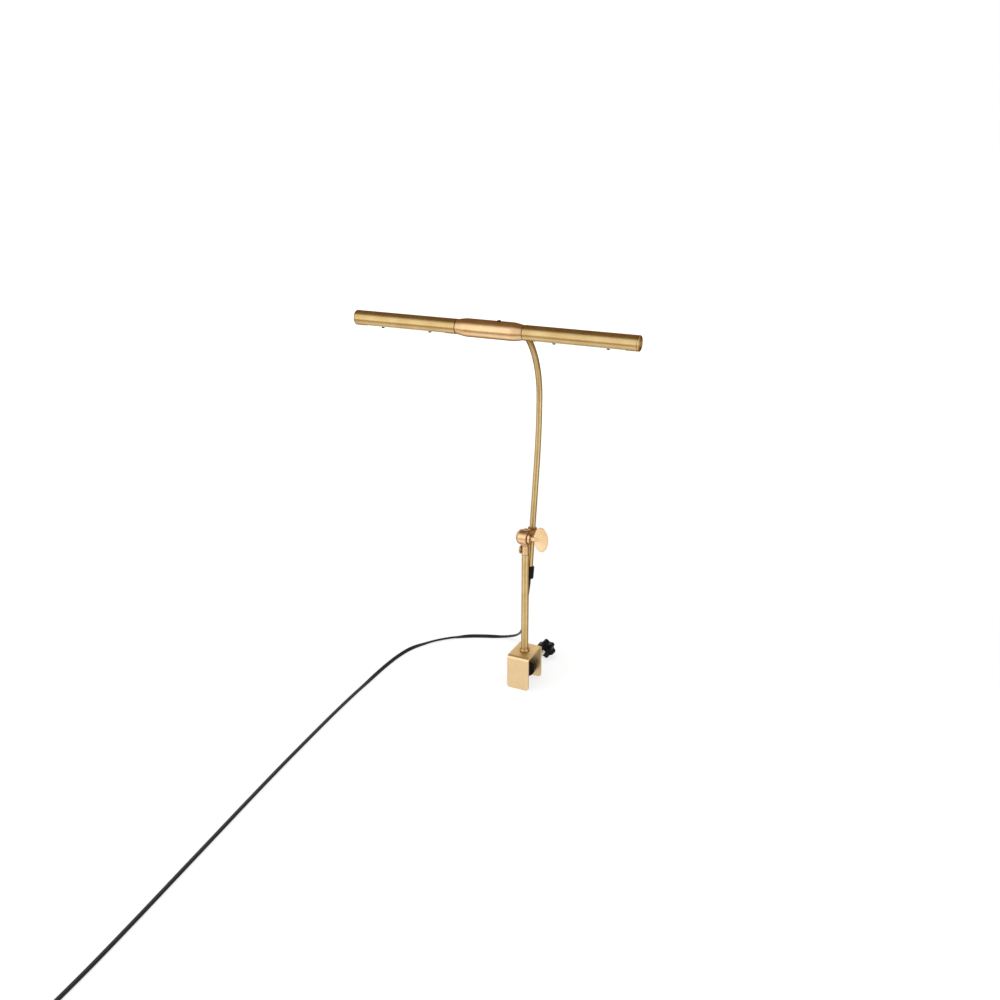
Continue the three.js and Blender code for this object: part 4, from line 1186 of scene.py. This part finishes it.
SHADE_WALL = 1
WINDOW_MARGIN = 14
WINDOW_HALF_WIDTH = 5.5
CAP_RIM = 2.0


def shade_mesh(side):
    """A shade's tube with the long window on its underside."""
    low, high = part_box("shade_tube_" + side)
    length, wide, _ = measures("shade_tube_" + side)[2]
    radius = wide / 2
    inner = radius - SHADE_WALL
    profile = eased([(inner, 0), (radius, 0), (radius, length), (inner, length)], 0.25, 3)
    tube = turned(profile, placed(Vector((low.x, HEAD.y, HEAD.z)), (1, 0, 0)), 96)
    margin, half = WINDOW_MARGIN * MM, WINDOW_HALF_WIDTH * MM
    window = block(
        Vector((low.x + margin, HEAD.y - half, HEAD.z - 12 * MM)),
        Vector((high.x - margin, HEAD.y + half, HEAD.z)),
    )
    return combined(tube, window)


def end_cap_mesh(side):
    """A shade's turned end: a plug inside the tube and a slightly domed outer disc."""
    low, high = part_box("end_cap_" + side)
    depth, wide, _ = measures("end_cap_" + side)[2]
    outward = 1 if side == "right" else -1
    seat = Vector((low.x if outward > 0 else high.x, HEAD.y, HEAD.z))
    radius = wide / 2
    rim = depth - CAP_RIM
    profile = [(0, 0), (radius - 1.3, 0), (radius - 1.3, rim), (radius, rim)]
    profile += [(radius, depth - 0.9), (radius - 0.8, depth - 0.45), (radius - 2.5, depth - 0.2)]
    profile += [(radius - 5.5, depth - 0.03), (0, depth)]
    return turned(eased(profile, 0.3, 3), placed(seat, (outward, 0, 0)), 96)


def cover_screw_mesh(name):
    """Small pan-head screw with a cross recess, its head down."""
    low, middle, (_, _, height) = measures(name)
    head = Vector((middle.x, middle.y, low.z))
    profile = [(0, 0), (1.0, 0.05), (1.6, 0.3), (2.0, 0.8), (2.1, 1.3), (1.2, 1.3)]
    profile += [(1.2, height), (0, height)]
    screw = turned(eased(profile, 0.15, 3), placed(head), 40)
    for wide, deep in ((1.3, 0.28), (0.28, 1.3)):
        low, high = Vector((-wide, -deep, -1)) * MM, Vector((wide, deep, 0.7)) * MM
        screw = combined(screw, block(head + low, head + high))
    return screw


# Stage

WHITE = (1, 1, 1, 1)
CAMERA_PLACE = (527.5, -1189.2, 706.9)
CAMERA_FORWARD = (-0.4027, 0.8466, -0.348)
CAMERA_LENS = 37.66
ROOM_LIGHT = 0.6
FLOOR_GLOW = 1.2
FLOOR_SIDE = 40
FLOOR_FADE = {"From Min": 0.7, "From Max": 1.4, "To Min": 0.6, "To Max": 1.0}

# Softboxes: name, place in metres from the post's foot, what they face, size, power, in gloss
LIGHTS = (
    ("left_softbox", (-0.82, -1.37, 0.8), (0, 0, 0.8), (0.7, 1.6), 4.6, True),
    ("right_softbox", (1.51, -0.52, 0.8), (0, 0, 0.8), (0.6, 1.6), 4.4, True),
    ("top_softbox", (-0.3, -0.5, 1.9), (0, 0, 0.3), (1.2, 1.2), 8.5, False),
)

CARD_TONES = {
    "dark": (0.25, 0.18, 0.1, 1),
    "pale": (0.5, 0.43, 0.28, 1),
    "bright": (1.6, 1.6, 1.6, 1),
}

# Cards: name, middle in metres from the post's foot, facing, size, tone
CARDS = (
    ("card_above", (0, 0.24, 1.4), (0, 0, -1), (2.8, 1.72), "dark"),
    ("card_behind", (0, 1.1, 1.27), (0, -1, 0), (2.8, 0.26), "dark"),
    ("card_behind_right", (0.85, 1.05, 0.4), (0, -1, 0), (1.3, 0.8), "dark"),
    ("card_on_floor_right", (0.75, 0.5, 0.012), (0, 0, 1), (1.3, 0.9), "pale"),
    ("card_on_floor_left", (-0.65, 0.42, 0.012), (0, 0, 1), (1.14, 0.8), "pale"),
    ("card_in_front", (-0.4, -1.45, 0.012), (0, 0, 1), (2.0, 1.6), "pale"),
    ("bright_card_left", (-0.22, -0.28, 0.012), (0, 0, 1), (0.28, 0.3), "bright"),
    ("bright_card_right", (0.32, -0.11, 0.012), (0, 0, 1), (0.32, 0.15), "bright"),
    ("bright_card_behind", (-0.5, 1.1, 0.62), (0, -1, 0), (0.9, 0.5), "bright"),
)


def make_camera():
    data = bpy.data.cameras.new("camera")
    data.sensor_width = 36
    data.lens = CAMERA_LENS
    data.clip_start = 0.01
    data.clip_end = 50
    camera = added("camera", data)
    camera.location = point(*CAMERA_PLACE)
    camera.rotation_euler = Vector(CAMERA_FORWARD).to_track_quat("-Z", "Y").to_euler()
    bpy.context.scene.camera = camera


def seen_directly(tree):
    """1 for rays from the camera and for mirrored or passing rays, 0 for the rest."""
    rays = node(tree, "ShaderNodeLightPath").node.outputs
    seen = rays["Is Camera Ray"]
    for kind in ("Is Glossy Ray", "Is Transmission Ray"):
        seen = node(tree, "ShaderNodeMath", {0: seen, 1: rays[kind]}, operation="MAXIMUM")
    return seen


def make_world():
    """Soft light from all round, in front of a white background."""
    world = bpy.data.worlds.new("studio")
    world.use_nodes = True
    bpy.context.scene.world = world
    tree = world.node_tree
    tree.nodes.clear()
    soft = node(tree, "ShaderNodeBackground", {"Color": WHITE, "Strength": ROOM_LIGHT})
    white = node(tree, "ShaderNodeBackground", {"Color": WHITE, "Strength": 1.0})
    mixed = node(tree, "ShaderNodeMixShader", {0: seen_directly(tree), 1: soft, 2: white})
    node(tree, "ShaderNodeOutputWorld", {"Surface": mixed})


def make_floor():
    """Pale floor that keeps the lamp's shadow and turns into the white background far off."""

    def build(tree):
        diffuse = node(tree, "ShaderNodeBsdfDiffuse", {"Color": finishes().floor})
        glow = node(tree, "ShaderNodeEmission", {"Color": WHITE, "Strength": FLOOR_GLOW})
        place = node(tree, "ShaderNodeTexCoord", out="Object")
        distance = node(tree, "ShaderNodeVectorMath", {0: place}, out=1, operation="LENGTH")
        fade = {"Value": distance, **FLOOR_FADE}
        share = node(tree, "ShaderNodeMapRange", fade, interpolation_type="SMOOTHSTEP")
        both = {0: seen_directly(tree), 1: share}
        part = node(tree, "ShaderNodeMath", both, operation="MULTIPLY")
        return node(tree, "ShaderNodeMixShader", {0: part, 1: diffuse, 2: glow})

    finish = material("studio_floor", build)
    stage_sheet("floor", Vector((0, 0, FLOOR)), (0, 0, 1), (FLOOR_SIDE, FLOOR_SIDE), finish)


def stage_sheet(name, middle, direction, size, finish):
    """A flat rectangle of the stage."""
    bm = bmesh.new()
    bmesh.ops.create_grid(bm, x_segments=1, y_segments=1, size=0.5)
    mesh = finished(bm)
    turn = facing(direction)
    mesh.transform(Matrix.Translation(middle) @ turn @ Matrix.Diagonal((*size, 1, 1)))
    mesh.materials.append(finish)
    sheet = added(name, mesh)
    return sheet


def make_card(name, middle, direction, size, tone):
    """A card that only polished surfaces in front of it reflect."""

    def build(tree):
        front = node(tree, "ShaderNodeEmission", {"Color": CARD_TONES[tone], "Strength": 1.0})
        back = node(tree, "ShaderNodeBsdfTransparent")
        behind = node(tree, "ShaderNodeNewGeometry", out="Backfacing")
        return node(tree, "ShaderNodeMixShader", {0: behind, 1: front, 2: back})

    finish = material(tone + "_card", build)
    card = stage_sheet(name, FOOT + Vector(middle), direction, size, finish)
    for kind in ("camera", "diffuse", "transmission", "volume_scatter", "shadow"):
        setattr(card, "visible_" + kind, False)


def make_light(name, place, target, size, power, in_gloss):
    data = bpy.data.lights.new(name, "AREA")
    data.shape = "RECTANGLE"
    data.size, data.size_y = size
    data.energy = power
    light = added(name, data)
    light.location = FOOT + Vector(place)
    light.rotation_euler = (Vector(target) - Vector(place)).to_track_quat("-Z", "Y").to_euler()
    light.visible_glossy = in_gloss
    light.visible_camera = False


# Operators and panel


class PIANO_LAMP_OT_stage(bpy.types.Operator):
    """Add the camera, lights, cards, background and floor"""

    bl_idname = "piano_lamp.stage"
    bl_label = "Stage"

    def execute(self, context):
        make_camera()
        make_world()
        make_floor()
        for light in LIGHTS:
            make_light(*light)
        for card in CARDS:
            make_card(*card)
        context.scene.view_settings.view_transform = "Standard"
        return {"FINISHED"}


class PIANO_LAMP_OT_lead(bpy.types.Operator):
    """Add the flat lead with its coil, tie and plug"""

    bl_idname = "piano_lamp.lead"
    bl_label = "Lead"

    def execute(self, context):
        pieces = make_lead()
        run, line = pieces[-1]
        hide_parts("cord_run", "cord_coil")
        tie = refined("coil_tie", black_plastic(), "clamp", 0.2)
        plug = make_plug(line)
        pins = [refined(n, nickel(), "clamp", 0.3) for n in ("plug_pin_left", "plug_pin_right")]
        declare_lead(pieces)
        return {"FINISHED"}


class PIANO_LAMP_OT_clamp(bpy.types.Operator):
    """Add the bracket, jaw liner, clamp screw, knob and pad"""

    bl_idname = "piano_lamp.clamp"
    bl_label = "Clamp"

    def execute(self, context):
        refined("clamp_bracket", pale_gold(), "clamp", 0.45, 30)
        refined("jaw_liner", black_rubber(), "clamp", 0.3)
        refined("thread_bush", zinc(), "clamp", 0.3)
        piece("clamp_screw", thread_mesh(), zinc(), "spindle", "clamp_spindle", sharp=60)
        piece("knob", knob_mesh(), black_plastic(), "spindle", "star_knob", sharp=50)
        refined("pad_rubber", black_rubber(), "pad", 0.3)
        refined("pad_cup", black_plastic(), "pad", 0.3)
        return {"FINISHED"}


class PIANO_LAMP_OT_post(bpy.types.Operator):
    """Add the post, its collar and its fixings"""

    bl_idname = "piano_lamp.post"
    bl_label = "Post"

    def execute(self, context):
        foot = GAP / MM
        height = (post_high.z - POST.z) / MM
        collar = [(5.3, foot), (6.9, foot), (6.9, 1.4), (6.35, 2), (5.95, 3), (5.85, 3.8)]
        tube = [(3.5, foot), (5, foot), (5, height), (3.5, height)]
        mesh = turned(eased([*collar, (5.3, 3.8)], 0.5), placed(POST))
        piece("foot_collar", mesh, satin_brass("Z"), "clamp", "post_collar")
        mesh = turned(eased(tube, 0.3), placed(POST))
        piece("post", mesh, satin_brass("Z"), "clamp", "post_tube")
        for name in ("post_plug", "post_spigot"):
            repainted(name, zinc())
        refined("post_screw", zinc(), "clamp", 0.2)
        return {"FINISHED"}


class PIANO_LAMP_OT_pivot(bpy.types.Operator):
    """Add the pivot housing, its screws, the lug and the bush"""

    bl_idname = "piano_lamp.pivot"
    bl_label = "Pivot"

    def execute(self, context):
        piece("pivot_body", housing_mesh(), rosy_brass(), "pivot", "pivot_housing")
        piece("pivot_top_screw", top_screw_mesh(), rosy_brass(), "pivot", "top_screw")
        make_lock_screw()
        paddle = thumb_screw_mesh()
        piece("thumb_paddle", paddle, blasted_brass(), "thumb_screw", "thumb_screw", sharp=50)
        refined("thumb_washer", rosy_brass(), "thumb_screw", 0.15)
        refined("friction_washer", fibre(), "pivot", 0.1)
        refined("rod_lug", rosy_brass(), "lug", 0.5)
        refined("rod_bush", nylon(), "bush", 0.15)
        return {"FINISHED"}


class PIANO_LAMP_OT_arm(bpy.types.Operator):
    """Add the swan-neck rod and its end piece"""

    bl_idname = "piano_lamp.arm"
    bl_label = "Arm"

    def execute(self, context):
        piece("swan_neck", rod_mesh(), shaded_rod_brass(), "arm", "arm_rod")
        piece("rod_end_piece", relief_mesh(), black_plastic(), "arm", "cable_gland")
        return {"FINISHED"}


class PIANO_LAMP_OT_head(bpy.types.Operator):
    """Add the centre housing, the button and what is inside"""

    bl_idname = "piano_lamp.head"
    bl_label = "Head"

    def execute(self, context):
        piece("head_centre", centre_mesh(), rosy_brass(), "arm", "centre_housing", sharp=50)
        piece("push_button", button_mesh(), black_plastic(), "button", "switch_button")
        refined("switch_body", black_plastic(), "arm", 0.2)
        refined("rod_nut", zinc(), "arm", 0.3)
        refined("driver_board", green_board(), "arm", 0.1)
        return {"FINISHED"}


class PIANO_LAMP_OT_shades(bpy.types.Operator):
    """Add the two turning shades"""

    bl_idname = "piano_lamp.shades"
    bl_label = "Shades"

    def execute(self, context):
        for side in ("left", "right"):
            body = "shade_" + side
            tube, cap = shade_mesh(side), end_cap_mesh(side)
            brushed = satin_brass("X")
            piece(body, tube, brushed, body, "shade_tube_" + side, sharp=30)
            piece("shade_end_" + side, cap, brushed, body, "end_cap_" + side, "brass_satin")
            refined("swivel_sleeve_" + side, black_plastic(), body, 0.2)
            refined("led_carrier_" + side, zinc(), body, 0.2)
            refined("led_board_" + side, white_board(), body, 0.1)
            refined("diffuser_" + side, opal_plastic(), body, 0.3)
            for where in ("inner", "outer"):
                name = "cover_screw_" + side + "_" + where
                piece(name + "_head", cover_screw_mesh(name), black_screw(), body, name)
        return {"FINISHED"}


OPERATORS = (
    PIANO_LAMP_OT_stage,
    PIANO_LAMP_OT_lead,
    PIANO_LAMP_OT_clamp,
    PIANO_LAMP_OT_post,
    PIANO_LAMP_OT_pivot,
    PIANO_LAMP_OT_arm,
    PIANO_LAMP_OT_head,
    PIANO_LAMP_OT_shades,
)


class PIANO_LAMP_PT_panel(bpy.types.Panel):
    """Lists the lamp's operators, sizes and finishes"""

    bl_label = "Piano Lamp"
    bl_idname = "PIANO_LAMP_PT_panel"
    bl_space_type = "VIEW_3D"
    bl_region_type = "UI"
    bl_category = "Piano Lamp"

    def draw(self, context):
        for operator in OPERATORS:
            self.layout.operator(operator.bl_idname)
        for group in (sizes(), finishes()):
            for name in group.__annotations__:
                self.layout.prop(group, name)


CLASSES = (PianoLampSizes, PianoLampFinishes, *OPERATORS, PIANO_LAMP_PT_panel)


def register():
    for item in CLASSES:
        bpy.utils.register_class(item)
    bpy.types.Scene.piano_lamp_sizes = PointerProperty(type=PianoLampSizes)
    bpy.types.Scene.piano_lamp_finishes = PointerProperty(type=PianoLampFinishes)


def unregister():
    del bpy.types.Scene.piano_lamp_finishes
    del bpy.types.Scene.piano_lamp_sizes
    for item in reversed(CLASSES):
        bpy.utils.unregister_class(item)


def main():
    register()
    bpy.ops.piano_lamp.stage()
    bpy.ops.piano_lamp.lead()
    bpy.ops.piano_lamp.clamp()
    bpy.ops.piano_lamp.post()
    bpy.ops.piano_lamp.pivot()
    bpy.ops.piano_lamp.arm()
    bpy.ops.piano_lamp.head()
    bpy.ops.piano_lamp.shades()


if __name__ == "__main__":
    main()
